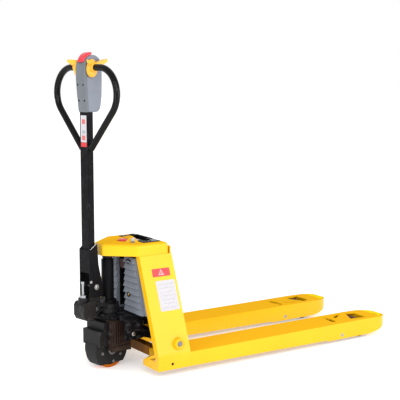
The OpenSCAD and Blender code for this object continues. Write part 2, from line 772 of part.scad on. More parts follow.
// ---- Tiller ----
bracket_front = tube_y - tube_d / 2 - bracket_t - 2;
module tiller_bracket() {
    side = [[bracket_front, 306], [bracket_front + 30, 300], [-52, 300], [-50, 340], [-70, 430],
            [-76, 520], [bracket_front, 492]];
    color(BLACK) steered() difference() {
        union() {
            yz_slab(side, -bracket_x, -bracket_x + bracket_t);
            yz_slab(side, bracket_x - bracket_t, bracket_x);
            box(-bracket_x, bracket_x, bracket_front, bracket_front + bracket_t, 400, 492);
            box(-bracket_x + 1, bracket_x - 1, tube_y - tube_d / 2 - 2, tube_y + tube_d / 2 + 2, 398, 412);
        }
        rod_x(-40, 40, tilt_y, tilt_z, 8 + run_c);
    }
}
module tiller_pin() {
    color(STEEL) steered() {
        rod_x(-bracket_x - 2, bracket_x + 2, tilt_y, tilt_z, 8);
    }
}
module tiller_tube() {
    color(BLACK) steered() difference() {
        box(-tube_w / 2, tube_w / 2, tube_y - tube_d / 2, tube_y + tube_d / 2, 412, head_low + 40);
        box(-tube_w / 2 + 3, tube_w / 2 - 3, tube_y - tube_d / 2 + 3, tube_y + tube_d / 2 - 3, 411,
            head_low + 41);
    }
}
module torus_part(r, a0, a1) {
    rotate([90, 0, 0]) rotate([0, 0, a0]) rotate_extrude(angle = a1 - a0) translate([r, 0]) circle(loop_r);
}
bend_x = loop_x - loop_bend;
bend_z = bar_z - loop_bend;
joint_gap = 0.05;
leg_end = [tube_w / 2 + 4, bar_z - 312];
leg_dx = bend_x - leg_end[0];
leg_dz = bend_z - leg_end[1];
leg_d = sqrt(leg_dx * leg_dx + leg_dz * leg_dz);
leg_phi = atan2(leg_dx, leg_dz) + asin(loop_bend / leg_d);
leg_len = sqrt(leg_d * leg_d - loop_bend * loop_bend);
module handle_loop() {
    color(BLACK) steered() difference() {
        union() {
            rod_x(-bend_x + joint_gap, bend_x - joint_gap, tube_y, bar_z, loop_r);
            both() {
                translate([bend_x, tube_y, bend_z]) torus_part(loop_bend, -leg_phi, 90);
                translate([bend_x + loop_bend * cos(leg_phi), tube_y, bend_z - loop_bend * sin(leg_phi)])
                    rotate([0, 180 + leg_phi, 0]) translate([0, 0, joint_gap])
                        cylinder(r = loop_r, h = leg_len - joint_gap);
            }
        }
        box(-tube_w / 2, tube_w / 2, tube_y - 20, tube_y + 20, leg_end[1] - 30, leg_end[1] + 30);
    }
}

// Outline of the control head in the steered frame's Y and Z.
function head_poly(in) = concat(
    [[-66, head_low], [-114 + in, head_low], [-124 + in, 1150]],
    arc(-80, bar_z, 43 - in, 48 - in, 180, 0, 12),
    [[-37 - in, 1150], [-41 - in, head_low + 40], [-50 - in, head_low + 12]]);
module head_half(y0, y1) {
    difference() {
        intersection() {
            yz_slab(head_poly(0), -head_x, head_x);
            box(-head_x - 1, head_x + 1, y0, y1, head_low - 1, overall_h + 1);
        }
        yz_slab(head_poly(shell_t), -head_x + shell_t, head_x - shell_t);
        box(-tube_w / 2 - gap, tube_w / 2 + gap, tube_y - tube_d / 2 - gap, tube_y + tube_d / 2 + gap,
            head_low - 1, head_low + 72);
        rod_x(-head_x - 1, head_x + 1, tube_y, bar_z, sleeve_r + gap);
        // seat of the red stop button at the top front
        for (d = [0, belly_travel])
            rod_x(-belly_x - gap, belly_x + gap, belly_y + d, belly_z, belly_r + 1);
    }
}
module head_front_shell() {
    color(GREY) difference() {
        steered() head_half(-140, split_y);
        screw_shapes();
    }
}
module head_rear_shell() {
    color(GREY) steered() difference() {
        head_half(split_y, 0);
        for (z = button_zs) rod_y(0, -60, -20, z, 9);
    }
}
module head_screws() { color(BLACK) screw_shapes(); }
module screw_shapes() {
    steered() both() {
        rod_y(17, -122, -110, 1136, 4);
        rod_y(17, -117, -109, 1075, 4);
    }
}
module throttle() {
    color(YELLOW) steered() difference() {
        union() {
            rod_x(-62, 62, tube_y, bar_z, sleeve_r);
            both() {
                // thumb lobe beside the head, then the two wings above the bar
                yz_slab(arc(tube_y - 3, bar_z - 2, 22, 35, 0, 340, 17), 34, 47);
                yz_slab([[tube_y - 8, bar_z + 10], [tube_y - 30, bar_z + 36], [tube_y - 42, bar_z + 36],
                         [tube_y - 38, bar_z + 20], [tube_y - 16, bar_z - 6]], 34, 62);
                yz_slab([[tube_y + 8, bar_z - 4], [tube_y + 52, bar_z + 14], [tube_y + 60, bar_z + 36],
                         [tube_y + 48, bar_z + 34], [tube_y, bar_z + 12]], 34, 62);
            }
        }
        rod_x(-70, 70, tube_y, bar_z, loop_r + run_c);
    }
}
module belly_button() {
    color(RED) steered() intersection() {
        rod_x(-belly_x, belly_x, belly_y, belly_z, belly_r);
        box(-head_x, head_x, -140, -60, bar_z + 20, overall_h + 1);
    }
}
module face_button(i) {
    z = button_zs[i];
    face = -50 + 12 * min(1, (z - head_low) / 120);
    color(BLACK) steered() rod_y(0, -56, face + 4, z, 9 - gap);
}
module horn_button() { face_button(0); }
module lift_button() { face_button(1); }
module lower_button() { face_button(2); }

fork_channel_left();
fork_channel_right();
side_panel_left();
side_panel_right();
back_plate();
cross_member();
hood_cap();
front_cover();
cover_screws();
battery_tray();
controller();
hydraulic_tank();
pump_motor();
horn();
key_switch();
ignition_key();
lift_ram();
rocker_bushes();
yoke_pins();
carriage_bracket();
thrust_bearings();
base_casting();
steer_shaft();
lift_cylinder();
cylinder_gland();
drive_housing();
drive_motor();
gearbox_cover();
drive_cover();
wheel_fender();
drive_axle();
drive_bearings();
brake_unit();
limit_bolt();
drive_hub();
drive_tyre();
drive_gear();
motor_rotor();
tiller_bracket();
tiller_tube();
handle_loop();
head_front_shell();
head_rear_shell();
head_screws();
tiller_pin();
throttle();
belly_button();
horn_button();
lift_button();
lower_button();
rocker_shaft();
push_rod_left();
push_rod_right();
yoke_left();
yoke_right();
load_roller_left();
load_roller_right();
estop_knob();
battery_pack();
battery_handle();
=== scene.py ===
"""Looks of the electric pallet truck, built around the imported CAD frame. Metres throughout."""
import json
import math
import random

import bmesh
import bpy
from mathutils import Matrix, Vector


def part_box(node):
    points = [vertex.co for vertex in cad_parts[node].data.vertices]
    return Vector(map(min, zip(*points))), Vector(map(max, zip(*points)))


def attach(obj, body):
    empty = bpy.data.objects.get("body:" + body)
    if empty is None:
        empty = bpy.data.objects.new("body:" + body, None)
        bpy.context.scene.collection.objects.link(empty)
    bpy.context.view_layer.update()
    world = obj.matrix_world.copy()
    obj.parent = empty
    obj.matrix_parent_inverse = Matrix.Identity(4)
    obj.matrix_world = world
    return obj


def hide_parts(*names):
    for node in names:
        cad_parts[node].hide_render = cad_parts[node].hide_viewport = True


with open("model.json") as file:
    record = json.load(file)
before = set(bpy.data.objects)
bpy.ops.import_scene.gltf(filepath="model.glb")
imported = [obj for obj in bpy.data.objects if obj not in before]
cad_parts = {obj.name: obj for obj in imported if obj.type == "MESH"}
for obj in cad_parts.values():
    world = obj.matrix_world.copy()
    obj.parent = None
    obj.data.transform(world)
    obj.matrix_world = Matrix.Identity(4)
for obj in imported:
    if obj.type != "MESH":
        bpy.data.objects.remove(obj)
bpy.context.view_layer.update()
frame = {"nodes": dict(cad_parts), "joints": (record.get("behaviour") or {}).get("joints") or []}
rng = random.Random(7)

NODES = frame["nodes"]
JOINTS = {j["name"]: j for j in frame["joints"]}
MM = 0.001
SIDES = ((1, "right"), (-1, "left"))

# ---------------------------------------------------------------- places from the frame
HEEL_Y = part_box("back_plate")[1].y
OUTER_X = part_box("side_panel_right")[1].x
TILT_AXIS = Vector(JOINTS["tiller_tilt"]["axis"])
STEER = math.atan2(TILT_AXIS.y, TILT_AXIS.x)
STEER_POS = Vector(JOINTS["steer"]["pos_m"])
STEERED = Matrix.Translation((STEER_POS.x, STEER_POS.y, 0)) @ Matrix.Rotation(STEER, 4, "Z")


def steer_local(p):
    """A point of the row frame in the steered frame, whose +Y points to the forks."""
    return STEERED.inverted() @ Vector(p)


# ---------------------------------------------------------------- materials
class Nodes:
    """A small helper round one material's node tree."""

    def __init__(self, name):
        self.mat = bpy.data.materials.new(name)
        self.mat.use_nodes = True
        self.tree = self.mat.node_tree
        self.shader = self.tree.nodes["Principled BSDF"]

    def add(self, kind, **inputs):
        node = self.tree.nodes.new(kind)
        for key, value in inputs.items():
            node.inputs[key.replace("_", " ")].default_value = value
        return node

    def link(self, a, b):
        self.tree.links.new(a, b)

    def coords(self):
        return self.add("ShaderNodeTexCoord").outputs["Object"]

    def noise(self, scale, detail=4.0, rough=0.55, stretch=None):
        node = self.add("ShaderNodeTexNoise", Scale=scale, Detail=detail, Roughness=rough)
        source = self.coords()
        if stretch:
            mapping = self.add("ShaderNodeMapping", Scale=stretch)
            self.link(source, mapping.inputs["Vector"])
            source = mapping.outputs["Vector"]
        self.link(source, node.inputs["Vector"])
        return node.outputs["Fac"]

    def ramp(self, value, stops):
        node = self.add("ShaderNodeValToRGB")
        while len(node.color_ramp.elements) < len(stops):
            node.color_ramp.elements.new(0.5)
        for element, (at, colour) in zip(node.color_ramp.elements, stops):
            element.position = at
            element.color = (*colour, 1.0) if len(colour) == 3 else colour
        self.link(value, node.inputs["Fac"])
        return node.outputs["Color"]

    def spread(self, value, low, high):
        node = self.add("ShaderNodeMapRange", To_Min=low, To_Max=high)
        self.link(value, node.inputs["Value"])
        return node.outputs["Result"]

    def mix(self, fac, a, b, blend="MIX"):
        """Mixes two colours; the sockets are the ones a colour mix shows: factor, A, B and result."""
        node = self.tree.nodes.new("ShaderNodeMix")
        node.data_type = "RGBA"
        node.blend_type = blend
        if isinstance(fac, float):
            node.inputs[0].default_value = fac
        else:
            self.link(fac, node.inputs[0])
        for socket, value in ((node.inputs[6], a), (node.inputs[7], b)):
            if isinstance(value, tuple):
                socket.default_value = (*value, 1.0)
            else:
                self.link(value, socket)
        return node.outputs[2]

    def set(self, **inputs):
        """Plain values of the shader, named by its inputs."""
        for key, value in inputs.items():
            self.shader.inputs[key.replace("_", " ")].default_value = value

    def facing_up(self, low_value, high_value):
        """Blends from one grey or colour to another where the face turns upward."""
        split = self.tree.nodes.new("ShaderNodeSeparateXYZ")
        self.link(self.add("ShaderNodeNewGeometry").outputs["Normal"], split.inputs["Vector"])
        return self.ramp(split.outputs["Z"], [(TOP_STARTS, low_value), (TOP_FULL, high_value)])

    def bump(self, height, strength, distance):
        node = self.add("ShaderNodeBump", Strength=strength, Distance=distance)
        self.link(height, node.inputs["Height"])
        self.link(node.outputs["Normal"], self.shader.inputs["Normal"])


STUDIO = 0.80  # share of a seen colour that is the surface's own, under this bright studio
BLACK, WHITE = (0.0, 0.0, 0.0), (1.0, 1.0, 1.0)
TOP_STARTS, TOP_FULL = 0.55, 0.95  # upward part of the normal where a paint's top shade sets in


def srgb(r, g, b):
    """8-bit display colour, as seen under the studio light, as the surface's own linear values."""
    def lin(v):
        v /= 255.0
        return STUDIO * (v / 12.92 if v <= 0.04045 else ((v + 0.055) / 1.055) ** 2.4)
    return (lin(r), lin(g), lin(b))


def edge_wear_and_highlight(n, low=0.53, high=0.60):
    """Mask of convex edges broken up by noise: chipped wear, and on the dark finishes a painted edge
    highlight.
    """
    point = n.add("ShaderNodeNewGeometry").outputs["Pointiness"]
    edge = n.ramp(point, [(low, BLACK), (high, WHITE)])
    patches = n.ramp(n.noise(38.0, 6.0, 0.7), [(0.52, BLACK), (0.64, WHITE)])
    return n.mix(1.0, edge, patches, "MULTIPLY")


def paint(name, base, shade, chip_and_edge_highlight, rough, coat, gloss, top=None):
    """Sprayed enamel: orange peel, slow shade changes, light dust, and chipped edges that on the dark enamels
    are lighter, partly a painted edge highlight.
    Where top is given, faces that look up carry that colour as a painted shade of the light falling on them,
    and lose their gloss."""
    n = Nodes(name)
    body = n.ramp(n.noise(3.2, 3.0), [(0.35, shade), (0.65, base)])
    n.set(Coat_Weight=coat, Coat_Roughness=0.12, Specular_IOR_Level=gloss)
    if top:
        # painted shade: faces that look up take the top colour, darker and more orange than the sides
        body = n.mix(n.facing_up(BLACK, WHITE), body, top)
        n.link(n.facing_up((gloss,) * 3, BLACK), n.shader.inputs["Specular IOR Level"])
        n.link(n.facing_up((coat,) * 3, BLACK), n.shader.inputs["Coat Weight"])
    dust = n.ramp(n.noise(46.0, 8.0, 0.7), [(0.60, BLACK), (0.86, (0.10, 0.10, 0.10))])
    dusty = n.mix(dust, body, tuple(min(1.0, v * 0.7 + 0.06) for v in base))
    # convex edges take the chip colour: chipped paint, and on the dark enamels a painted edge highlight
    n.link(n.mix(edge_wear_and_highlight(n), dusty, chip_and_edge_highlight), n.shader.inputs["Base Color"])
    n.link(n.spread(n.noise(60.0, 6.0), *rough), n.shader.inputs["Roughness"])
    n.bump(n.noise(900.0, 2.0), 0.25, 0.0004)
    return n.mat


def plastic(name, base, shade, rough=(0.42, 0.58), grain=1400.0, depth=0.00025, coat=0.0, gloss=0.35):
    """Moulded plastic with a fine spark-eroded grain and faint handling marks."""
    n = Nodes(name)
    colour = n.ramp(n.noise(9.0, 5.0), [(0.3, shade), (0.7, base)])
    marks = n.ramp(n.noise(55.0, 8.0, 0.75, stretch=(1.0, 1.0, 0.25)),
                   [(0.62, BLACK), (0.82, (0.35, 0.35, 0.35))])
    light = tuple(min(1.0, v * 1.25 + 0.03) for v in base)
    n.link(n.mix(marks, colour, light), n.shader.inputs["Base Color"])
    n.link(n.spread(n.noise(30.0, 6.0), *rough), n.shader.inputs["Roughness"])
    n.set(Coat_Weight=coat, Specular_IOR_Level=gloss)
    n.bump(n.noise(grain, 2.0), 0.3, depth)
    return n.mat


def metal(name, base, rough=(0.2, 0.42)):
    """Machined or plated metal with fine drawn lines."""
    n = Nodes(name)
    lines = n.noise(14.0, 8.0, 0.7, stretch=(1.0, 60.0, 60.0))
    dark = tuple(v * 0.72 for v in base)
    n.link(n.ramp(lines, [(0.3, dark), (0.7, base)]), n.shader.inputs["Base Color"])
    n.link(n.spread(n.noise(22.0, 7.0), *rough), n.shader.inputs["Roughness"])
    n.set(Metallic=1.0)
    n.bump(lines, 0.15, 0.0001)
    return n.mat


def casting(name, base, dust):
    """Sand-cast iron under thin dark paint."""
    n = Nodes(name)
    coarse = n.noise(190.0, 5.0, 0.6)
    patch = n.ramp(n.noise(11.0, 6.0, 0.65), [(0.42, base), (0.72, dust)])
    # lighter convex edges: worn paint, and partly a painted edge highlight
    n.link(n.mix(edge_wear_and_highlight(n, 0.52, 0.62), patch, srgb(96, 95, 96)), n.shader.inputs["Base Color"])
    n.link(n.spread(coarse, 0.42, 0.68), n.shader.inputs["Roughness"])
    n.set(Specular_IOR_Level=0.14, Coat_Weight=0.12, Coat_Roughness=0.22)
    n.bump(coarse, 0.55, 0.0009)
    return n.mat


def urethane(name, base, shade):
    """Cast polyurethane tread: faint turning lines, scuffs and road dust."""
    n = Nodes(name)
    scuff = n.ramp(n.noise(26.0, 8.0, 0.7), [(0.5, base), (0.78, shade)])
    n.link(scuff, n.shader.inputs["Base Color"])
    n.link(n.spread(n.noise(80.0, 6.0), 0.34, 0.6), n.shader.inputs["Roughness"])
    n.set(Specular_IOR_Level=0.1, Subsurface_Weight=0.08, Subsurface_Radius=(0.004, 0.002, 0.001))
    n.bump(n.noise(320.0, 4.0, stretch=(6.0, 1.0, 1.0)), 0.35, 0.0004)
    return n.mat


def sticker(name, base, speck, rough=0.3):
    """Printed vinyl film: slight mottle and dust at 1 mm scale."""
    n = Nodes(name)
    n.link(n.ramp(n.noise(120.0, 6.0, 0.7), [(0.35, speck), (0.6, base)]), n.shader.inputs["Base Color"])
    n.link(n.spread(n.noise(40.0, 4.0), rough, rough + 0.16), n.shader.inputs["Roughness"])
    n.bump(n.noise(260.0, 3.0), 0.12, 0.0002)
    return n.mat


# the yellow enamel's top colour is painted shade on the faces that look up
YELLOW = paint("yellow_enamel", srgb(250, 195, 8), srgb(247, 188, 4), srgb(206, 150, 40),
               rough=(0.26, 0.38), coat=0.14, gloss=0.22, top=srgb(246, 185, 34))
BLACK_PAINT = paint("black_enamel", srgb(20, 19, 22), srgb(13, 13, 15), srgb(64, 63, 66),
                    rough=(0.3, 0.44), coat=0.0, gloss=0.06)
BLACK_GLOSS = paint("black_gloss_enamel", srgb(3, 3, 4), srgb(2, 2, 3), srgb(30, 30, 33),
                    rough=(0.1, 0.16), coat=0.0, gloss=0.16)
BLACK_CAST = casting("black_casting", srgb(17, 16, 18), srgb(29, 27, 28))
# darker, browner yellow for the cross member, a painted shade for where it lies in shadow
SHADE_PAINTED_YELLOW = paint("painted_shade_yellow_enamel", srgb(150, 96, 14), srgb(112, 66, 10), srgb(120, 90, 50),
                     rough=(0.45, 0.7), coat=0.0, gloss=0.15)
BROWN_CAST = casting("warm_casting", srgb(44, 30, 24), srgb(56, 38, 30))
BLACK_PLASTIC = plastic("black_moulding", srgb(18, 18, 20), srgb(13, 13, 15), gloss=0.14)
GREY_COVER = plastic("grey_moulding", srgb(128, 134, 145), srgb(119, 125, 136), rough=(0.45, 0.6))
HEAD_GREY = plastic("head_grey", srgb(131, 136, 149), srgb(121, 126, 139), rough=(0.38, 0.5), coat=0.1)
HEAD_DARK = plastic("head_strip_grey", srgb(114, 120, 125), srgb(104, 110, 116), rough=(0.4, 0.52))
WARM_YELLOW = plastic("yellow_moulding", srgb(250, 190, 50), srgb(244, 178, 40), rough=(0.3, 0.42), coat=0.25)
RED = plastic("red_moulding", srgb(228, 38, 58), srgb(214, 30, 50), rough=(0.22, 0.34), coat=0.4)
STEEL = metal("zinc_steel", (0.40, 0.41, 0.43))
DARK_STEEL = metal("dark_steel", (0.24, 0.24, 0.26), rough=(0.3, 0.5))
CHROME = metal("chrome", (0.86, 0.87, 0.9), rough=(0.05, 0.12))
ALU = metal("aluminium", (0.72, 0.73, 0.75), rough=(0.3, 0.5))
HORN_RED = plastic("horn_enamel", srgb(70, 16, 20), srgb(52, 11, 14), rough=(0.4, 0.5), gloss=0.1)
ORANGE = urethane("orange_tread", srgb(206, 106, 14), srgb(160, 80, 20))
# dark brown tread of the load rollers, a painted shade for rollers lying in the shadow of the forks
ROLLER_SHADE_BROWN = urethane("roller_tread_painted_shade", srgb(84, 44, 20), srgb(60, 34, 20))
# lighter matt yellow for the fork-tip dishes, a painted highlight
DISH_HIGHLIGHT_YELLOW = paint("yellow_dish_painted_highlight", srgb(255, 232, 30), srgb(254, 226, 24), srgb(206, 150, 40),
                    rough=(0.62, 0.75), coat=0.0, gloss=0.0)
RED_FILM = sticker("red_film", srgb(222, 42, 46), srgb(206, 36, 42))
WHITE_FILM = sticker("white_film", srgb(206, 203, 206), srgb(194, 190, 196), rough=0.55)
PINK_FILM = sticker("pink_film", srgb(214, 92, 92), srgb(206, 120, 116), rough=0.55)
GREY_FILM = sticker("grey_film", srgb(176, 178, 186), srgb(160, 162, 170))
RUBBER = plastic("black_rubber", srgb(16, 16, 18), srgb(12, 12, 14), rough=(0.6, 0.78), grain=700.0,
                 depth=0.0004)

MATERIAL_OF = {
    YELLOW: "fork_channel_left fork_channel_right side_panel_left side_panel_right back_plate "
            "hood_cap",
    SHADE_PAINTED_YELLOW: "cross_member",
    GREY_COVER: "front_cover",
    HEAD_GREY: "head_rear_shell",
    HEAD_DARK: "head_front_shell",
    BLACK_PLASTIC: "battery_tray battery_pack battery_handle hydraulic_tank horn_button lift_button "
                   "lower_button head_screws",
    RUBBER: "wheel_fender",
    BLACK_PAINT: "tiller_bracket tiller_tube rocker_shaft push_rod_left push_rod_right carriage_bracket "
                 "lift_cylinder cylinder_gland pump_motor brake_unit yoke_left yoke_right",
    BLACK_GLOSS: "handle_loop",
    BLACK_CAST: "base_casting drive_housing gearbox_cover drive_cover drive_hub thrust_bearings drive_axle",
    BROWN_CAST: "drive_motor",
    STEEL: "cover_screws yoke_pins limit_bolt tiller_pin key_switch ignition_key",
    DARK_STEEL: "steer_shaft drive_bearings drive_gear motor_rotor rocker_bushes",
    CHROME: "lift_ram",
    ALU: "controller",
    HORN_RED: "horn",
    ORANGE: "drive_tyre",
    ROLLER_SHADE_BROWN: "load_roller_left load_roller_right",
    WARM_YELLOW: "throttle",
    RED: "belly_button estop_knob",
}
# Rounding of each CAD node's edges, in millimetres
EDGE_MM = {
    "fork_channel_left": 3.5, "fork_channel_right": 3.5, "side_panel_left": 2.2, "side_panel_right": 2.2,
    "hood_cap": 3.0, "front_cover": 1.4, "tiller_tube": 4.0, "tiller_bracket": 1.2, "base_casting": 4.5,
    "drive_motor": 2.0, "drive_housing": 2.0, "gearbox_cover": 3.0, "drive_cover": 4.0,
    "carriage_bracket": 3.0, "head_front_shell": 3.0, "head_rear_shell": 3.0, "battery_pack": 2.0,
    "wheel_fender": 1.5,
}
PLAIN_EDGE_MM, WIDE_EDGE_MM = 0.6, 2.0  # rounding of the nodes not listed, and the one that takes 3 segments
MERGE = 0.00002  # points nearer than this are one


def round_edges(obj, edge, segments):
    """Bevel of every edge sharper than a slight bend; edge in mm."""
    bevel = obj.modifiers.new("bevel", "BEVEL")
    bevel.width = edge * MM
    bevel.segments = segments
    bevel.limit_method = "ANGLE"
    bevel.angle_limit = math.radians(32)
    return bevel


def keep_flats(obj):
    """Normals weighted by face, so the flats stay flat."""
    normal = obj.modifiers.new("normals", "WEIGHTED_NORMAL")
    normal.keep_sharp = True
    return normal


for material, names in MATERIAL_OF.items():
    for name in names.split():
        node = NODES[name]
        edge = EDGE_MM.get(name, PLAIN_EDGE_MM)
        node.data.materials.clear()
        node.data.materials.append(material)
        node.modifiers.new("weld", "WELD").merge_threshold = MERGE
        round_edges(node, edge, 3 if edge >= WIDE_EDGE_MM else 2).miter_outer = "MITER_ARC"
        keep_flats(node).weight = 60
        for poly in node.data.polygons:
            poly.use_smooth = True


# ---------------------------------------------------------------- piece builders
def mesh_object(name, bm):
    """A bmesh as an object in the scene, with its faces turned outward."""
    bmesh.ops.recalc_face_normals(bm, faces=bm.faces)
    mesh = bpy.data.meshes.new(name)
    bm.to_mesh(mesh)
    bm.free()
    obj = bpy.data.objects.new(name, mesh)
    bpy.context.scene.collection.objects.link(obj)
    return obj


def finish_piece(name, bm, material, body, replaces=(), edge=0.0, segments=2, smooth=True):
    """Turns a bmesh into a named piece that rides on a body."""
    obj = mesh_object(name, bm)
    obj.data.materials.append(material)
    for poly in obj.data.polygons:
        poly.use_smooth = smooth
    if edge:
        round_edges(obj, edge, segments)
    if smooth:
        keep_flats(obj)
    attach(obj, body)
    if replaces:
        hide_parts(*replaces)


def rings_to_faces(bm, rings):
    """Skins equal closed rings of points in order and caps both ends."""
    loops = [[bm.verts.new(p) for p in ring] for ring in rings]
    count = len(loops[0])
    for a, b in zip(loops, loops[1:]):
        for i in range(count):
            j = (i + 1) % count
            bm.faces.new((a[i], a[j], b[j], b[i]))
    bm.faces.new(loops[0][::-1])
    bm.faces.new(loops[-1])


def basis(axis):
    """Two directions square to the axis."""
    axis = Vector(axis).normalized()
    side = axis.cross(Vector((0, 0, 1)))
    if side.length < 0.01:
        side = Vector((1, 0, 0))
    side.normalize()
    return axis, side, axis.cross(side).normalized()


def lathe(bm, centre, axis, profile, steps=32, turn=0.0):
    """Turned shape: profile holds (distance along the axis, radius) pairs in mm, all radii over 0."""
    axis, u, v = basis(axis)
    centre = Vector(centre)
    rings = []
    for along, radius in profile:
        rings.append([centre + axis * along * MM
                      + (u * math.cos(a) + v * math.sin(a)) * radius * MM
                      for a in (turn + 2 * math.pi * i / steps for i in range(steps))])
    rings_to_faces(bm, rings)


def bolt(name, centre, axis, radius, height, body, kind, material=STEEL):
    """Bolt head on a washer, with a socket or a dome. The axis points away from the surface."""
    bm = bmesh.new()
    washer = radius * 1.45
    lathe(bm, centre, axis, [(-0.8, washer), (0.9, washer), (1.2, washer - 0.3)], 36)
    rng.random()  # one draw per bolt, so that the weld beads further down stay as they are
    if kind == "socket":
        wall = radius * 0.62
        lathe(bm, centre, axis, [(0.5, radius), (height - 0.6, radius), (height, radius - 0.6),
                                 (height, wall), (height * 0.45, wall * 0.96), (height * 0.4, 0.3)], 36)
    else:
        lathe(bm, centre, axis, [(0.6, radius), (height * 0.5, radius * 0.93), (height * 0.85, radius * 0.6),
                                 (height, radius * 0.2)], 32)
    finish_piece(name, bm, material, body)


def film(name, centre, right, up, width, height, material, body, slot, corner=3.0, lift=0.25, shape=None):
    """Thin printed film laid on a flat face. Sizes in mm; right and up lie in the face."""
    right, up = Vector(right).normalized(), Vector(up).normalized()
    out = right.cross(up).normalized()
    if shape is None:
        shape = []
        for cx, cy, start in ((1, 1, 0), (-1, 1, 90), (-1, -1, 180), (1, -1, 270)):
            for k in range(5):
                a = math.radians(start + 22.5 * k)
                shape.append((cx * (width / 2 - corner) + corner * math.cos(a),
                              cy * (height / 2 - corner) + corner * math.sin(a)))
    bm = bmesh.new()
    rings = [[Vector(centre) + (right * x + up * y + out * z) * MM for x, y in shape]
             for z in (lift - 0.5, lift)]
    rings_to_faces(bm, rings)
    finish_piece(name, bm, material, body, smooth=False)


def steered(p):
    """A point in millimetres of the steered frame as a point of the row frame in metres."""
    return STEERED @ (Vector(p) * MM)


def steered_axis(v):
    """A direction of the steered frame in the row frame."""
    return STEERED.to_3x3() @ Vector(v)


def node_local(name):
    """Lowest and highest corner of a steered node, measured in the steered frame, in mm."""
    inverse = STEERED.inverted()
    points = [inverse @ v.co for v in NODES[name].data.vertices]
    low = Vector([min(p[k] for p in points) / MM for k in range(3)])
    high = Vector([max(p[k] for p in points) / MM for k in range(3)])
    return low, high


# ---------------------------------------------------------------- labels on the right side panel
DECK_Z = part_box("fork_channel_right")[1].z
PANEL_LOW = Vector((OUTER_X, 0, DECK_Z))
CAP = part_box("hood_cap")
PANEL_TOP_Z = CAP[0].z
PANEL_HIGH = Vector((max(v.co.x for v in NODES["side_panel_right"].data.vertices
                         if v.co.z > PANEL_TOP_Z - 0.002), 0, PANEL_TOP_Z))


def panel_point(y, z, side=1):
    """A point on the leaning face of a side panel."""
    t = (z - PANEL_LOW.z) / (PANEL_HIGH.z - PANEL_LOW.z)
    return Vector((side * (PANEL_LOW.x + t * (PANEL_HIGH.x - PANEL_LOW.x)), y, z))


PANEL_UP = (PANEL_HIGH - PANEL_LOW).normalized()
FRONT_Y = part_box("side_panel_right")[0].y


def panel_film(name, at, width, height, material, slot, **more):
    """Film on the right side panel; sizes in mm."""
    film(name, at, (0, 1, 0), PANEL_UP, width, height, material, "chassis", slot, **more)


# red warning label: white triangle with a red middle and a white pip
WARNING_AT = panel_point(FRONT_Y + 0.084, 0.394)
panel_film("warning_label_right", WARNING_AT, 82, 33, RED_FILM, "red_plastic")
panel_film("warning_triangle_right", WARNING_AT, 0, 0, WHITE_FILM, "grey_plastic", lift=0.4,
           shape=[(-13, -10), (13, -10), (0, 13)])
panel_film("warning_triangle_core_right", WARNING_AT, 0, 0, RED_FILM, "red_plastic", lift=0.55,
           shape=[(-9, -7.6), (9, -7.6), (0, 8.4)])
panel_film("warning_pip_right", WARNING_AT - PANEL_UP * 0.0015, 3, 9, WHITE_FILM, "grey_plastic",
           corner=1.4, lift=0.7)

# white data label with plain grey rules of three lengths
DATA_AT = panel_point(FRONT_Y + 0.095, 0.306)
RULES, RULE_TOP, RULE_PITCH = 7, 0.046, 0.0155
RULE_LENGTH, RULE_STEP, RULE_H = 70, 9, 1.6
panel_film("data_label_right", DATA_AT, 88, 122, WHITE_FILM, "grey_plastic", corner=4)
for k in range(RULES):
    panel_film("data_rule_%d_right" % k, DATA_AT + PANEL_UP * (RULE_TOP - RULE_PITCH * k),
               RULE_LENGTH - RULE_STEP * (k % 3), RULE_H, GREY_FILM, "grey_plastic", corner=0.7, lift=0.35)

# label strip on the tiller tube, white with a red foot and three marks: name, z from, z to, width, lift
TUBE_LOW, TUBE_HIGH = node_local("tiller_tube")
LABEL_W, MARK_W = 36, 20
for name, z0, z1, width, lift, skin, slot_name in (
        ("mast_label", 914, 1018, LABEL_W, 0.25, WHITE_FILM, "grey_plastic"),
        ("mast_label_foot", 896, 913, LABEL_W, 0.25, RED_FILM, "red_plastic"),
        ("mast_mark_a", 985, 1003, MARK_W, 0.4, PINK_FILM, "red_plastic"),
        ("mast_mark_b", 948, 960, MARK_W, 0.4, GREY_FILM, "grey_plastic"),
        ("mast_mark_c", 922, 940, MARK_W, 0.4, PINK_FILM, "red_plastic")):
    film(name, steered((0, TUBE_LOW.y, (z0 + z1) / 2)), steered_axis((1, 0, 0)), (0, 0, 1),
         width, z1 - z0, skin, "tiller", slot_name, corner=2, lift=lift)

# ---------------------------------------------------------------- hood cap
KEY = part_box("key_switch")
KEY_STANDS = 0.004  # how far the key switch stands out of the hood
HOOD_Z = KEY[1].z - KEY_STANDS
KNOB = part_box("estop_knob")
KNOB_Y = (KNOB[0].y + KNOB[1].y) / 2
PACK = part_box("battery_pack")
# corners of one half of the cap's plan, from its nose: x, y and radius
CAP_CORNERS = ((0.034, CAP[0].y, 0.020), (CAP[1].x, FRONT_Y - 0.004, 0.024), (CAP[1].x, CAP[1].y, 0.010))
LEAST_R = 0.0015  # a corner that is drawn in never gets sharper than this


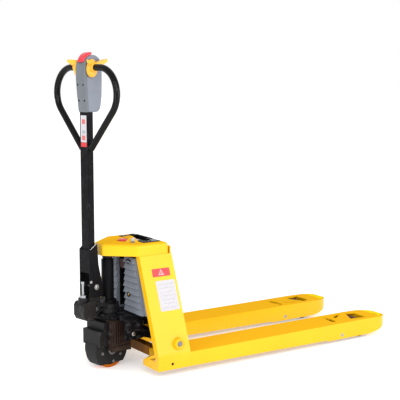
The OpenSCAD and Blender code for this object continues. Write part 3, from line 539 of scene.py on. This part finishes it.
def rounded_outline(inset):
    """Plan outline of the cap: three rounded corners on each side, counter-clockwise from the nose."""
    steps = 7
    corners = [Vector((x, y)) for x, y, _ in CAP_CORNERS]
    radii = [r for _, _, r in CAP_CORNERS]
    whole = corners + [Vector((-c.x, c.y)) for c in reversed(corners)]
    radii = radii + radii[::-1]
    points = []
    for i, corner in enumerate(whole):
        before = (whole[i - 1] - corner).normalized()
        after = (whole[(i + 1) % len(whole)] - corner).normalized()
        half = before.angle(after) / 2
        centre = corner + (before + after).normalized() * (radii[i] / math.sin(half))
        radius = max(radii[i] - inset, LEAST_R)
        centre_in = centre if radii[i] > inset + LEAST_R else corner + (before + after).normalized() * (
            (inset + LEAST_R) / math.sin(half))
        normal_a = Vector((-before.y, before.x))
        normal_b = Vector((after.y, -after.x))
        if normal_a.dot(corner - centre) < 0:
            normal_a = -normal_a
        if normal_b.dot(corner - centre) < 0:
            normal_b = -normal_b
        a0 = math.atan2(normal_a.y, normal_a.x)
        a1 = math.atan2(normal_b.y, normal_b.x)
        while a1 < a0:
            a1 += 2 * math.pi
        for k in range(steps + 1):
            a = a0 + (a1 - a0) * k / steps
            points.append((centre_in.x + radius * math.cos(a), centre_in.y + radius * math.sin(a)))
    return points


def cap_solid(inset, z0, z1, fillet):
    """Closed block with the cap's outline and a rounded top edge."""
    bm = bmesh.new()
    rings = [[Vector((x, y, z0)) for x, y in rounded_outline(inset)]]
    for a in (math.pi / 2 * k / 6 for k in range(7)):
        rings.append([Vector((x, y, z1 - fillet + fillet * math.sin(a)))
                      for x, y in rounded_outline(inset + fillet * (1 - math.cos(a)))])
    rings_to_faces(bm, rings)
    return bm


def brick(low, high, edge=0.0):
    """Box between two corners, with rounded edges if edge is given."""
    bm = bmesh.new()
    bmesh.ops.create_cube(bm, size=1.0)
    low, high = Vector(low), Vector(high)
    for v in bm.verts:
        v.co = Vector([(low[k] + high[k]) / 2 + v.co[k] * (high[k] - low[k]) for k in range(3)])
    if edge:
        bmesh.ops.bevel(bm, geom=list(bm.edges), offset=edge, segments=3, profile=0.5, affect="EDGES")
    return bm


def turned(centre, axis, profile, steps=40):
    """One turned shape as a bmesh of its own."""
    bm = bmesh.new()
    lathe(bm, centre, axis, profile, steps)
    return bm


def carve(bm, joins, cuts):
    """Applies booleans to a bmesh and gives a new bmesh back; the helper solids are deleted."""
    obj = mesh_object("carved", bm)
    helpers = []
    for operation, group in (("UNION", joins), ("DIFFERENCE", cuts)):
        for part in group:
            helper = mesh_object("helper", part)
            helpers.append(helper)
            mod = obj.modifiers.new("cut", "BOOLEAN")
            mod.operation = operation
            mod.solver = "EXACT"
            mod.object = helper
    graph = bpy.context.evaluated_depsgraph_get()
    result = bmesh.new()
    result.from_mesh(obj.evaluated_get(graph).to_mesh())
    for item in helpers + [obj]:
        bpy.data.objects.remove(item, do_unlink=True)
    bmesh.ops.remove_doubles(result, verts=result.verts, dist=MERGE)
    return result


def arch_solid(middle, half, y0, y1, base, rise):
    """Smooth raised cowl behind the stop button, which falls away to both sides and forward."""
    bm = bmesh.new()
    rings = []
    rows, points = 12, 24
    sink, sweep = 0.010, 0.030
    for k in range(rows + 1):
        t = k / rows
        reach = y0 + (y1 - y0) * t
        swell = max(0.05, math.sin(math.pi / 2 * min(1.0, t * 1.25)) ** 0.8)
        ring = []
        for i in range(points + 1):
            u = -1 + 2 * i / points
            z = base + rise * swell * (math.cos(math.pi * u / 2) ** 0.75)
            ring.append(Vector((middle + u * half, reach - sweep * u * u * (1 - t), z)))
        ring += [Vector((middle + side * half, reach, base - sink)) for side in (1, -1)]
        rings.append(ring)
    rings_to_faces(bm, rings)
    return bm


UP = (0, 0, 1)
WELL_DEPTH = 0.008
CAP_WALL, CAP_FILLET = 0.005, 0.014
PACK_GAP = 0.0008
KEY_MIDDLE = KEY[0].lerp(KEY[1], 0.5)
cap_shell = carve(
    cap_solid(0.0, PANEL_TOP_Z, HOOD_Z, CAP_FILLET),
    [arch_solid(0.008, 0.057, KNOB_Y - 0.002, PACK[0].y - 0.003, HOOD_Z - 0.001,
                CAP[1].z - 0.0005 - HOOD_Z)],
    [cap_solid(CAP_WALL, PANEL_TOP_Z - 0.01, HOOD_Z - 0.012, 0.010),
     brick((PACK[0].x - PACK_GAP, PACK[0].y - PACK_GAP, PANEL_TOP_Z - 0.02),
           (PACK[1].x + PACK_GAP, PACK[1].y + PACK_GAP, HOOD_Z + 0.05), 0.002),
     turned((0, KNOB_Y, HOOD_Z - WELL_DEPTH), UP, [(0, 24.5), (2, 26), (8, 26.5), (14, 27.5), (60, 32)]),
     turned((KEY_MIDDLE.x, KEY_MIDDLE.y, HOOD_Z - 0.03), UP, [(0, 9), (80, 9)])])
finish_piece("hood_cap_skin", cap_shell, YELLOW, "chassis", replaces=("hood_cap",),
             edge=0.8)

# ---------------------------------------------------------------- control head
HEAD_LOW, HEAD_HIGH = node_local("head_rear_shell")
FACE_LOW, _ = node_local("head_front_shell")
HEAD_HALF = HEAD_HIGH.x
HEAD_TOP = HEAD_HIGH.z
HEAD_FOOT = HEAD_LOW.z
LOOP_LOW, LOOP_HIGH = node_local("handle_loop")
TUBE_Y = (LOOP_LOW.y + LOOP_HIGH.y) / 2
BAR_Z = LOOP_HIGH.z - (LOOP_HIGH.y - LOOP_LOW.y) / 2


def head_profile():
    """Side outline of the control head, as (y, z) in mm: a smooth closed curve through a few knots."""
    front_low, front_high = TUBE_Y - 16.5, FACE_LOW.y + 0.6
    knots = [(TUBE_Y - 9, HEAD_FOOT + 0.5), (front_low + 3, HEAD_FOOT + 1), (front_low - 1, HEAD_FOOT + 10),
             (front_high + 3.0, 1120), (front_high, 1165), (front_high + 1, BAR_Z + 4)]
    for k in range(1, 12):
        a = math.pi - math.pi * k / 12
        knots.append((TUBE_Y + 15 + 42.5 * math.cos(a), BAR_Z + (HEAD_TOP - 0.4 - BAR_Z) * math.sin(a)))
    knots += [(HEAD_HIGH.y - 0.6, BAR_Z - 4), (HEAD_HIGH.y - 1.0, 1150), (HEAD_HIGH.y - 3.5, 1090),
              (HEAD_HIGH.y - 9, 1050), (HEAD_HIGH.y - 18, HEAD_FOOT + 5), (HEAD_HIGH.y - 32, HEAD_FOOT + 0.5)]
    smooth = []
    count = len(knots)
    for i in range(count):
        p0, p1, p2, p3 = (Vector(knots[(i + d) % count]) for d in (-1, 0, 1, 2))
        for k in range(5):
            t = k / 5
            smooth.append(0.5 * ((2 * p1) + (p2 - p0) * t + (2 * p0 - 5 * p1 + 4 * p2 - p3) * t * t
                                 + (3 * p1 - p0 - 3 * p2 + p3) * t ** 3))
    return smooth


def inset_outline(points, by):
    """Draws a smooth outline in by about that much, towards its middle."""
    low = Vector((min(p.x for p in points), min(p.y for p in points)))
    high = Vector((max(p.x for p in points), max(p.y for p in points)))
    mid, size = (low + high) / 2, (high - low) / 2
    return [Vector((mid.x + (p.x - mid.x) * (1 - by / size.x), mid.y + (p.y - mid.y) * (1 - by / size.y)))
            for p in points]


def head_block(half, fillet, grow=0.0):
    """Head-shaped block of half width half, rounded over to both sides."""
    outline = head_profile()
    rings = []
    for side in (-1, 1):
        part = []
        for a in (math.pi / 2 * k / 6 for k in range(7)):
            x = side * (half - fillet + fillet * math.sin(a))
            edge = inset_outline(outline, fillet * (1 - math.cos(a)) - grow)
            part.append([steered((x, p.x, p.y)) for p in edge])
        rings += part[::-1] if side < 0 else part
    bm = bmesh.new()
    rings_to_faces(bm, rings)
    return bm


def steered_brick(low, high, edge=0.0):
    """Box between two corners, in mm of the steered frame."""
    bm = brick([v * MM for v in low], [v * MM for v in high], edge * MM)
    bm.transform(STEERED)
    return bm


def steered_wedge(points, x0, x1):
    """Prism of a (y, z) outline between two x, all in mm of the steered frame."""
    bm = bmesh.new()
    rings_to_faces(bm, [[steered((x, y, z)) for y, z in points] for x in (x0, x1)])
    return bm


def shaft_turned(y, z, profile, side=1, steps=40):
    """Turned about a line across the head; side tells which way the profile runs."""
    return turned(steered((0, y, z)), steered_axis((side, 0, 0)), profile, steps)


RED_LOW, RED_HIGH = node_local("belly_button")
FACE_CUT = 11.0
face_side = [(FACE_LOW.y - 20, HEAD_FOOT - 10), (TUBE_Y - 20.5 + FACE_CUT, HEAD_FOOT - 10),
             (FACE_LOW.y + FACE_CUT, 1150), (FACE_LOW.y + FACE_CUT + 2, BAR_Z + 14),
             (FACE_LOW.y + FACE_CUT + 9, HEAD_TOP + 10), (FACE_LOW.y - 20, HEAD_TOP + 10)]
rear_side = [(y + 0.5, z) for y, z in face_side[1:5]] + [(HEAD_HIGH.y + 20, HEAD_TOP + 10),
                                                        (HEAD_HIGH.y + 20, HEAD_FOOT - 10)]
slot_x = RED_HIGH.x + 0.8
red_well = steered_wedge([(FACE_LOW.y - 20, RED_LOW.z - 1), (TUBE_Y + 4, RED_LOW.z - 1),
                          (TUBE_Y + 22, BAR_Z + 34), (TUBE_Y + 22, HEAD_TOP + 20),
                          (FACE_LOW.y - 20, HEAD_TOP + 20)], -slot_x, slot_x)
bar_hole = [(-90, 18), (90, 18)]
TUBE_GAP = 0.8
tube_hole = steered_brick(Vector((TUBE_LOW.x - TUBE_GAP, TUBE_LOW.y - TUBE_GAP, HEAD_FOOT - 20)),
                          Vector((TUBE_HIGH.x + TUBE_GAP, TUBE_HIGH.y + TUBE_GAP, HEAD_FOOT + 60)))
side_pockets = [shaft_turned(TUBE_Y + 2, BAR_Z - 4, [(HEAD_HALF - 3.2, 30), (HEAD_HALF - 2.4, 31.5),
                                                     (HEAD_HALF + 5, 34)], side) for side in (-1, 1)]
SCREW_X, SCREW_ROWS, SCREW_WELL_R = 17, (1075, 1136), 3.6
screw_wells = [turned(steered((side * SCREW_X, FACE_LOW.y - 6, z)), steered_axis((0, 1, 0)),
                      [(0, SCREW_WELL_R), (12.5, SCREW_WELL_R)], 24)
               for side in (-1, 1) for z in SCREW_ROWS]
WIDE = 60  # half width of a cut that goes right across the head
SHELL_FILLET = 7.0
face_bm = carve(head_block(HEAD_HALF - 0.4, SHELL_FILLET), [],
                [steered_wedge(rear_side, -WIDE, WIDE), red_well.copy(),
                 shaft_turned(TUBE_Y, BAR_Z, bar_hole), tube_hole.copy()] + screw_wells)
rear_bm = carve(head_block(HEAD_HALF - 0.4, SHELL_FILLET), [],
                [steered_wedge(face_side, -WIDE, WIDE), red_well,
                 shaft_turned(TUBE_Y, BAR_Z, bar_hole), tube_hole] + side_pockets)
finish_piece("head_face", face_bm, HEAD_DARK, "tiller", replaces=("head_front_shell",),
             edge=0.5)
finish_piece("head_body", rear_bm, HEAD_GREY, "tiller", replaces=("head_rear_shell",),
             edge=0.5)
# the red button is the top of a slightly larger head, cut off below and behind
RED_PROUD, RED_RAISE = 2.6, 0.0085
red_base = head_block(RED_HIGH.x, 6.0, grow=RED_PROUD)
red_base.transform(Matrix.Translation((0, 0, RED_RAISE)))
red_block = carve(red_base, [],
                  [steered_wedge([(FACE_LOW.y - 30, HEAD_FOOT - 30), (60, HEAD_FOOT - 30),
                                  (60, BAR_Z + 21), (TUBE_Y + 6, BAR_Z + 21), (FACE_LOW.y + 4, RED_LOW.z),
                                  (FACE_LOW.y - 30, RED_LOW.z)], -WIDE, WIDE),
                   steered_wedge([(TUBE_Y + 3, BAR_Z), (60, BAR_Z), (60, HEAD_TOP + 30),
                                  (TUBE_Y + 20, HEAD_TOP + 30)], -WIDE, WIDE)])
finish_piece("belly_button_skin", red_block, RED, "belly_button",
             replaces=("belly_button",), edge=1.2, segments=3)


# ---------------------------------------------------------------- butterfly throttle
def hexa(root, tip, edge):
    """Rounded block between a root and a tip, each given by four points in mm of the steered frame."""
    bm = bmesh.new()
    rings_to_faces(bm, [[steered(p) for p in root], [steered(p) for p in tip]])
    bmesh.ops.recalc_face_normals(bm, faces=bm.faces)
    bmesh.ops.bevel(bm, geom=list(bm.edges), offset=edge * MM, segments=3, profile=0.6, affect="EDGES")
    return bm


def lobe(side):
    """Thumb lobe that hugs the side of the head: an oval that narrows upward, rounded outward."""
    half_y, half_z, taper = 23, 35, 0.12
    outline = [Vector((TUBE_Y - 1 + half_y * math.cos(a) * (1 - taper * math.sin(a)),
                       BAR_Z - 3 + half_z * math.sin(a)))
               for a in (2 * math.pi * k / 40 for k in range(40))]
    layers = ((33.6, 3.0), (34.6, 1.0), (36.5, 0.0), (43, 0.3), (46.5, 2.0), (48.6, 5.5), (49.3, 10))
    bm = bmesh.new()
    rings_to_faces(bm, [[steered((side * x, p.x, p.y)) for p in inset_outline(outline, inset)]
                        for x, inset in layers])
    return bm


def paddles(side):
    """The front and the rear paddle of one side."""
    def at(x, y, z):
        return (side * x, TUBE_Y + y, BAR_Z + z)
    front = hexa([at(35, -4, 20), at(60, -4, 22), at(60, -12, 2), at(35, -12, 0)],
                 [at(37, -20, 31), at(63, -44, 31), at(63, -42, 19), at(37, -21, 15)], 3.2)
    rear = hexa([at(36, 6, 18), at(60, 6, 18), at(60, 10, -2), at(36, 10, -2)],
                [at(38, 56, 33), at(63, 60, 33), at(63, 59, 20), at(38, 54, 17)], 3.4)
    return [front, rear]


SLEEVE_R, SLEEVE_HALF, SLEEVE_BORE = 16.8, 62, 13.2
throttle_bm = carve(shaft_turned(TUBE_Y, BAR_Z, [(-SLEEVE_HALF, 15.5), (-SLEEVE_HALF + 1, SLEEVE_R),
                                                 (SLEEVE_HALF - 1, SLEEVE_R), (SLEEVE_HALF, 15.5)], steps=48),
                    [lobe(1), lobe(-1)] + paddles(1) + paddles(-1),
                    [shaft_turned(TUBE_Y, BAR_Z, [(-70, SLEEVE_BORE), (70, SLEEVE_BORE)], steps=48)])
finish_piece("throttle_butterfly", throttle_bm, WARM_YELLOW, "throttle",
             replaces=("throttle",), edge=0.7)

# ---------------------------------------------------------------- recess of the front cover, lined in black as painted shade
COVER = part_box("front_cover")
LINER_IN, LINER_OUT = 0.0248, 0.0258  # half widths inside and outside
LINER_Y = (FRONT_Y + 0.0005, FRONT_Y + 0.0216, FRONT_Y + 0.0225)  # mouth, inside and outside of the back
liner_plan = [(-LINER_IN, LINER_Y[0]), (-LINER_IN, LINER_Y[1]), (LINER_IN, LINER_Y[1]),
              (LINER_IN, LINER_Y[0]), (LINER_OUT, LINER_Y[0]), (LINER_OUT, LINER_Y[2]),
              (-LINER_OUT, LINER_Y[2]), (-LINER_OUT, LINER_Y[0])]
liner = bmesh.new()
rings_to_faces(liner, [[Vector((x, y, z)) for x, y in liner_plan]
                       for z in (COVER[0].z + 0.010, COVER[1].z - 0.001)])
# black liner inside the recess: a dark sheet standing in for the shade in the recess
finish_piece("recess_painted_shade_liner", liner, BLACK_PLASTIC, "chassis", smooth=False)

# ---------------------------------------------------------------- stop button, battery top, ram boot
stop_bm = turned((0, KNOB_Y, HOOD_Z - 0.0015), UP,
                 [(0, 18), (0.8, 20.2), (2.6, 20.9), (4.6, 20.4), (6.6, 18.2), (8.0, 14.2), (8.8, 8.5),
                  (9.0, 1.5)], 56)
lathe(stop_bm, (0, KNOB_Y, HOOD_Z - 0.018), UP, [(0, 7.4), (17, 7.4)], 32)
finish_piece("stop_button_dome", stop_bm, RED, "estop", replaces=("estop_knob",))

PACK_TOP = HOOD_Z + 0.002
PACK_MID_Y = (PACK[0].y + PACK[1].y) / 2
# latch of two stacked bricks, from the middle of the pack's top
latch = bmesh.new()
for corners in (((-0.086, 0.002, -0.001), (-0.066, 0.020, 0.004)),
                ((-0.082, 0.005, 0.003), (-0.070, 0.017, 0.008))):
    low, high = ((x, PACK_MID_Y + y, PACK_TOP + z) for x, y, z in corners)
    part = brick(low, high, 0.0012)
    mesh = bpy.data.meshes.new("part")
    part.to_mesh(mesh)
    part.free()
    latch.from_mesh(mesh)
finish_piece("battery_latch", latch, CHROME, "battery")
STICKER_AT = (0.004, PACK[0].y + 0.012, PACK_TOP)
film("battery_sticker", STICKER_AT, (1, 0, 0), (0, 1, 0), 74, 13, WHITE_FILM, "battery", "grey_plastic",
     corner=1.5)
film("battery_sticker_band", STICKER_AT, (1, 0, 0), (0, 1, 0), 66, 2.2, GREY_FILM, "battery", "grey_plastic",
     corner=0.8, lift=0.4)
for k, (x, y) in enumerate(((0.086, PACK[0].y + 0.030), (0.086, PACK[1].y - 0.014),
                            (-0.090, PACK[0].y + 0.014), (-0.090, PACK[1].y - 0.012))):
    bolt("battery_screw_%d" % k, (x, y, PACK_TOP), UP, 3.2, 2.6, "battery", "socket")
# charge socket with its pocket
socket_bm = carve(brick((0.078, PACK[1].y - 0.040, PACK_TOP - 0.001),
                        (0.096, PACK[1].y - 0.020, PACK_TOP + 0.007), 0.0016), [],
                  [brick((0.081, PACK[1].y - 0.037, PACK_TOP + 0.002),
                         (0.093, PACK[1].y - 0.023, PACK_TOP + 0.012))])
finish_piece("charge_socket", socket_bm, GREY_COVER, "battery")

# pleated boot round the ram, from the gland up into the hood
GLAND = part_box("cylinder_gland")
BOOT_OUT, BOOT_PLEAT, BOOT_BORE = 21.5, 19.8, 15.8
boot_bm = turned((STEER_POS.x, STEER_POS.y, GLAND[1].z + 0.0006), UP,
                 [(0, 20.5), (1.5, BOOT_OUT), (4, BOOT_PLEAT), (6.5, BOOT_OUT), (9, BOOT_PLEAT),
                  (11.5, BOOT_OUT), (14, BOOT_PLEAT), (16.4, BOOT_OUT),
                  ((PANEL_TOP_Z + 0.006 - GLAND[1].z) / MM, 20.5)], 48)
boot = carve(boot_bm, [], [turned((STEER_POS.x, STEER_POS.y, GLAND[1].z - 0.01), UP,
                                  [(0, BOOT_BORE), (80, BOOT_BORE)])])
finish_piece("ram_boot", boot, RUBBER, "chassis")

# ---------------------------------------------------------------- louvres, grommets and seats of the cover
RIBS = 9
RIB_H = (COVER[1].z - COVER[0].z) / RIBS
COVER_FRONT = FRONT_Y - 0.008
FLANK_IN = (0.057, 0.035)  # from the panel's face to the end of the louvres, at the foot and at the top
LOUVRE_X, LOUVRE_WAVE = 0.031, 0.004  # inner end of a louvre, and how much it varies from one to the next
SEAT_X, SEAT_Z = 0.069, 0.3005
GROMMET_X, GROMMET_STRETCH = 0.066, 2.6


def tower_right(z):
    """Inner edge of the slanted flank at height z."""
    t = (z - COVER[0].z) / (COVER[1].z - COVER[0].z)
    low = panel_point(0, COVER[0].z).x - FLANK_IN[0]
    high = panel_point(0, COVER[1].z).x - FLANK_IN[1]
    return low + (high - low) * t


for side, tag in SIDES:
    for k in range(RIBS):
        z0 = COVER[0].z + RIB_H * k
        slat = bmesh.new()
        low_edge, high_edge = tower_right(z0 + 0.002), tower_right(z0 + RIB_H - 0.001)
        section = [(COVER_FRONT - 0.0065, z0 + 0.0035), (COVER_FRONT - 0.0055, z0 + 0.0020),
                   (COVER_FRONT + 0.0020, z0 + 0.0045), (COVER_FRONT + 0.0040, z0 + RIB_H - 0.0005),
                   (COVER_FRONT + 0.0015, z0 + RIB_H - 0.0005)]
        inner = LOUVRE_X + LOUVRE_WAVE * math.sin(k * 1.3)
        ends = [[inner] * len(section),
                [low_edge + (high_edge - low_edge) * (z - z0) / RIB_H for _, z in section]]
        rings_to_faces(slat, [[Vector((side * x, y, z)) for x, (y, z) in zip(end, section)] for end in ends])
        finish_piece("cover_louvre_%s_%d" % (tag, k), slat, GREY_COVER, "chassis", edge=0.9)
    grommet = bmesh.new()
    lathe(grommet, (0, 0, 0), (0, -1, 0), [(-2, 9.5), (3, 9.5), (5, 8.6), (5, 5.0), (2, 4.5)], 36)
    for v in grommet.verts:
        v.co = Vector((side * GROMMET_X + v.co.x * GROMMET_STRETCH, COVER_FRONT + v.co.y,
                       COVER[1].z - 0.018 + v.co.z))
    finish_piece("cover_grommet_" + tag, grommet, RUBBER, "chassis")
    at = Vector((side * SEAT_X, COVER_FRONT - 0.0062, SEAT_Z))
    seat = bmesh.new()
    lathe(seat, at, (0, -1, 0), [(-4, 9.6), (0.6, 9.6), (1.0, 9.0), (1.0, 7.0), (-3, 6.4)], 40)
    finish_piece("cover_seat_" + tag, seat, BLACK_PLASTIC, "chassis")
    bolt("cover_screw_cap_" + tag, at + Vector((0, 0.0025, 0)), (0, -1, 0), 3.6, 3.4, "chassis", "dome",
         WARM_YELLOW)

# ---------------------------------------------------------------- bolts and pins
ROCKER = JOINTS["rocker_turn"]["pos_m"]
YOKE = JOINTS["yoke_turn_right"]["pos_m"]
bushes = bmesh.new()
for side, tag in SIDES:
    at = Vector((side * OUTER_X, ROCKER[1], ROCKER[2]))
    lathe(bushes, at, (side, 0, 0), [(-16, 18.9), (-0.9, 18.9), (-0.05, 18.0), (-0.05, 13.6), (-0.6, 13.0),
                                     (-2.6, 12.8), (-2.6, 0.5)], 56)
    hub_bolt = bmesh.new()
    lathe(hub_bolt, at, (side, 0, 0), [(-2.8, 10.6), (-1.3, 10.6), (-0.9, 9.9), (-0.9, 0.4)], 40)
    lathe(hub_bolt, at, (side, 0, 0), [(-1.2, 7.2), (-0.3, 7.0), (-0.1, 6.4)], 6, 0.3)
    finish_piece("boss_bolt_" + tag, hub_bolt, DARK_STEEL, "chassis")
    # black plug in the heel hole: a dark piece standing in for the shade inside the hole
    ring = bmesh.new()
    lathe(ring, Vector((side * OUTER_X, HEEL_Y - 0.085, 0.050)), (side, 0, 0),
          [(-6.5, 7.8), (-0.4, 7.8), (-0.35, 6.6), (-3.5, 5.8), (-3.5, 0.4)], 40)
    finish_piece("heel_hole_shade_plug_" + tag, ring, RUBBER, "chassis")
finish_piece("rocker_bush_caps", bushes, YELLOW, "chassis", replaces=("rocker_bushes",))

EAR_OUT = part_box("carriage_bracket")[1].x
ARM_PIN = (HEEL_Y - 0.176, 0.152)
for side, tag in SIDES:
    pin = bmesh.new()
    at = Vector((side * (EAR_OUT - 0.010), *ARM_PIN))
    lathe(pin, at, (side, 0, 0), [(0, 5.8), (11.2, 5.8), (11.3, 8.8), (13.0, 8.8), (14.4, 7.6),
                                 (14.9, 4.0)], 40)
    finish_piece("arm_pin_" + tag, pin, STEEL, "rocker")
    # snap ring and dished washer on each yoke pivot
    ring = bmesh.new()
    at = Vector((side * OUTER_X, YOKE[1], YOKE[2]))
    lathe(ring, at, (side, 0, 0), [(-1.5, 11.5), (-0.1, 11.5), (-0.05, 8.6), (-0.6, 8.0), (-0.6, 0.4)], 44)
    finish_piece("yoke_pin_washer_" + tag, ring, STEEL, "chassis")

BRACKET_LOW, BRACKET_HIGH = node_local("tiller_bracket")
PIVOT = steer_local(Vector(JOINTS["tiller_tilt"]["pos_m"])) / MM
for side, tag in SIDES:
    out = steered_axis((side, 0, 0))
    bolt("bracket_screw_" + tag, steered((side * BRACKET_HIGH.x, -109, 365)), out, 4.2, 3.2, "tiller", "dome")
    bolt("tilt_pin_head_" + tag, steered((side * BRACKET_HIGH.x, PIVOT.y, PIVOT.z)), out, 7.6, 3.6, "tiller",
         "dome")


def bead_and_highlight_rod(name, start, end, radius, material, body):
    """Weld seam, and also the bright rod that paints a highlight along a sheet edge: a thin uneven rod
    between two points in metres.
    """
    start, end = Vector(start), Vector(end)
    axis, u, v = basis(end - start)
    rings = []
    steps = max(6, int((end - start).length / 0.004))
    for k in range(steps + 1):
        swell = radius * MM * (0.4 if k in (0, steps) else 0.88 + 0.24 * rng.random())
        rings.append([start.lerp(end, k / steps) + (u * math.cos(a) + v * math.sin(a)) * swell
                      for a in (math.pi * i / 5 for i in range(10))])
    bm = bmesh.new()
    rings_to_faces(bm, rings)
    finish_piece(name, bm, material, body)


# bright rods along the tiller bracket's edges as a painted highlight, the cylinder's port blocks, whose black
# also fills a gap in shade, and weld seams between fork and back plate
BLOCK_X, BLOCK_Y, BLOCK_Z = (20, 32), (-62, -37), (260, 296)
SEAM_Y, SEAM_Z = HEEL_Y + 0.0012, DECK_Z + 0.0004
for side, tag in SIDES:
    x = side * (BRACKET_HIGH.x + 0.1)
    # painted highlight: a bright metal rod along the bracket's edge
    bead_and_highlight_rod("bracket_edge_highlight_" + tag, steered((x, BRACKET_LOW.y + 3, 493.5)), steered((x, -77, 519)), 0.9, ALU,
         "tiller")
    # the port blocks' black also fills a gap beside the bracket that lies in shade
    block = steered_brick((side * BLOCK_X[0], BLOCK_Y[0], BLOCK_Z[0]),
                          (side * BLOCK_X[1], BLOCK_Y[1], BLOCK_Z[1]), 2.0)
    finish_piece("port_block_" + tag, block, BLACK_CAST, "drive_unit")
    seam_x = side * (panel_point(0, DECK_Z).x - 0.0075)
    bead_and_highlight_rod("deck_seam_" + tag, (seam_x, SEAM_Y, SEAM_Z), (side * 0.125, SEAM_Y, SEAM_Z), 1.8, YELLOW, "chassis")

# shallow dish pressed into each fork tip, in a lighter matt yellow that is a painted highlight; the deck
# slopes down towards the tip there
DISH_HALF, DISH_FROM_TIP, DISH_RIM, DISH_STEPS = 60.0, 60.0, 13.0, 20
DISH_SLOPE, DISH_DROP = (0, 140.0, -3.0), 0.00193
FORK_LOW, FORK_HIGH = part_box("fork_channel_right")


def dish_arc(share):
    """Half oval that reaches that share of the dish's length."""
    length = share * (DISH_FROM_TIP - DISH_RIM)
    return [(DISH_HALF * math.cos(a), length * math.sin(a))
            for a in (math.pi * k / DISH_STEPS for k in range(DISH_STEPS + 1))]


for side, tag in SIDES:
    film("tip_dish_" + tag,
         (side * (FORK_LOW[0] + FORK_HIGH[0]) / 2, FORK_HIGH[1] - DISH_FROM_TIP * MM, DECK_Z - DISH_DROP),
         (1, 0, 0), DISH_SLOPE, 0, 0, DISH_HIGHLIGHT_YELLOW, "chassis", "yellow_paint",
         lift=0.3, shape=dish_arc(1.0) + dish_arc(0.25)[-2:0:-1])

# screws of the wheel's cover, placed from the wheel's middle
FENDER_HIGH = node_local("wheel_fender")[1]
WHEEL = steer_local(Vector(JOINTS["wheel_spin"]["pos_m"])) / MM
FENDER_SCREWS = ((-44, 22), (-47, -10), (8, -50), (44, -26))
for side, tag in SIDES:
    for k, (dy, dz) in enumerate(FENDER_SCREWS):
        bolt("fender_screw_%s_%d" % (tag, k), steered((side * FENDER_HIGH.x, WHEEL.y + dy, WHEEL.z + dz)),
             steered_axis((side, 0, 0)), 4.4, 2.6, "drive_unit", "socket", DARK_STEEL)

# ---------------------------------------------------------------- floor, light, camera
pale = Nodes("pale_floor")
pale.link(pale.ramp(pale.noise(2.0, 3.0), [(0.3, (0.86, 0.86, 0.86)), (0.7, (0.9, 0.9, 0.9))]),
          pale.shader.inputs["Base Color"])
pale.set(Roughness=0.8, Specular_IOR_Level=0.1, Emission_Color=(*WHITE, 1.0), Emission_Strength=0.35)
bpy.ops.mesh.primitive_plane_add(size=60.0, location=(0, 0, 0))
floor = bpy.context.object
floor.name = "floor"
floor.data.materials.append(pale.mat)

world = bpy.data.worlds.new("studio")
bpy.context.scene.world = world
world.use_nodes = True
world.node_tree.nodes["Background"].inputs["Color"].default_value = (*WHITE, 1.0)
world.node_tree.nodes["Background"].inputs["Strength"].default_value = 1.0
bpy.context.scene.view_settings.view_transform = "Standard"


TRUCK, TILLER = (0, 0, 0.35), (0, -0.6, 0.9)  # what the lights look at


def area_light(name, place, size, power, target):
    """Rectangular lamp that faces its target; size in metres, power in watts."""
    data = bpy.data.lights.new(name, "AREA")
    data.shape = "RECTANGLE"
    data.size, data.size_y = size
    data.energy = power
    obj = bpy.data.objects.new(name, data)
    obj.location = place
    obj.rotation_euler = (Vector(target) - Vector(place)).to_track_quat("-Z", "Y").to_euler()
    bpy.context.scene.collection.objects.link(obj)


area_light("key_light", (2.6, -1.4, 2.2), (2.0, 1.6), 40, TRUCK)
area_light("side_light", (3.0, 1.8, 1.4), (1.6, 2.0), 22, TRUCK)
area_light("strip_light_left", (0.9, -3.4, 1.3), (0.12, 2.2), 26, TILLER)
area_light("strip_light_right", (3.2, 0.9, 1.3), (0.12, 2.2), 26, TILLER)

AZIMUTH, ELEVATION = math.radians(55.98), math.radians(7.61)
CAMERA_FROM_HEEL = Vector((3.502, -2.135, 1.209))
LENS = 90.57  # millimetres
back = Vector((math.sin(AZIMUTH) * math.cos(ELEVATION), -math.cos(AZIMUTH) * math.cos(ELEVATION),
               math.sin(ELEVATION)))
camera_data = bpy.data.cameras.new("camera")
camera_data.lens = LENS
camera_data.sensor_width = 36.0
camera = bpy.data.objects.new("camera", camera_data)
camera.location = Vector((0, HEEL_Y, 0)) + CAMERA_FROM_HEEL
camera.rotation_euler = (-back).to_track_quat("-Z", "Y").to_euler()
bpy.context.scene.collection.objects.link(camera)
bpy.context.scene.camera = camera
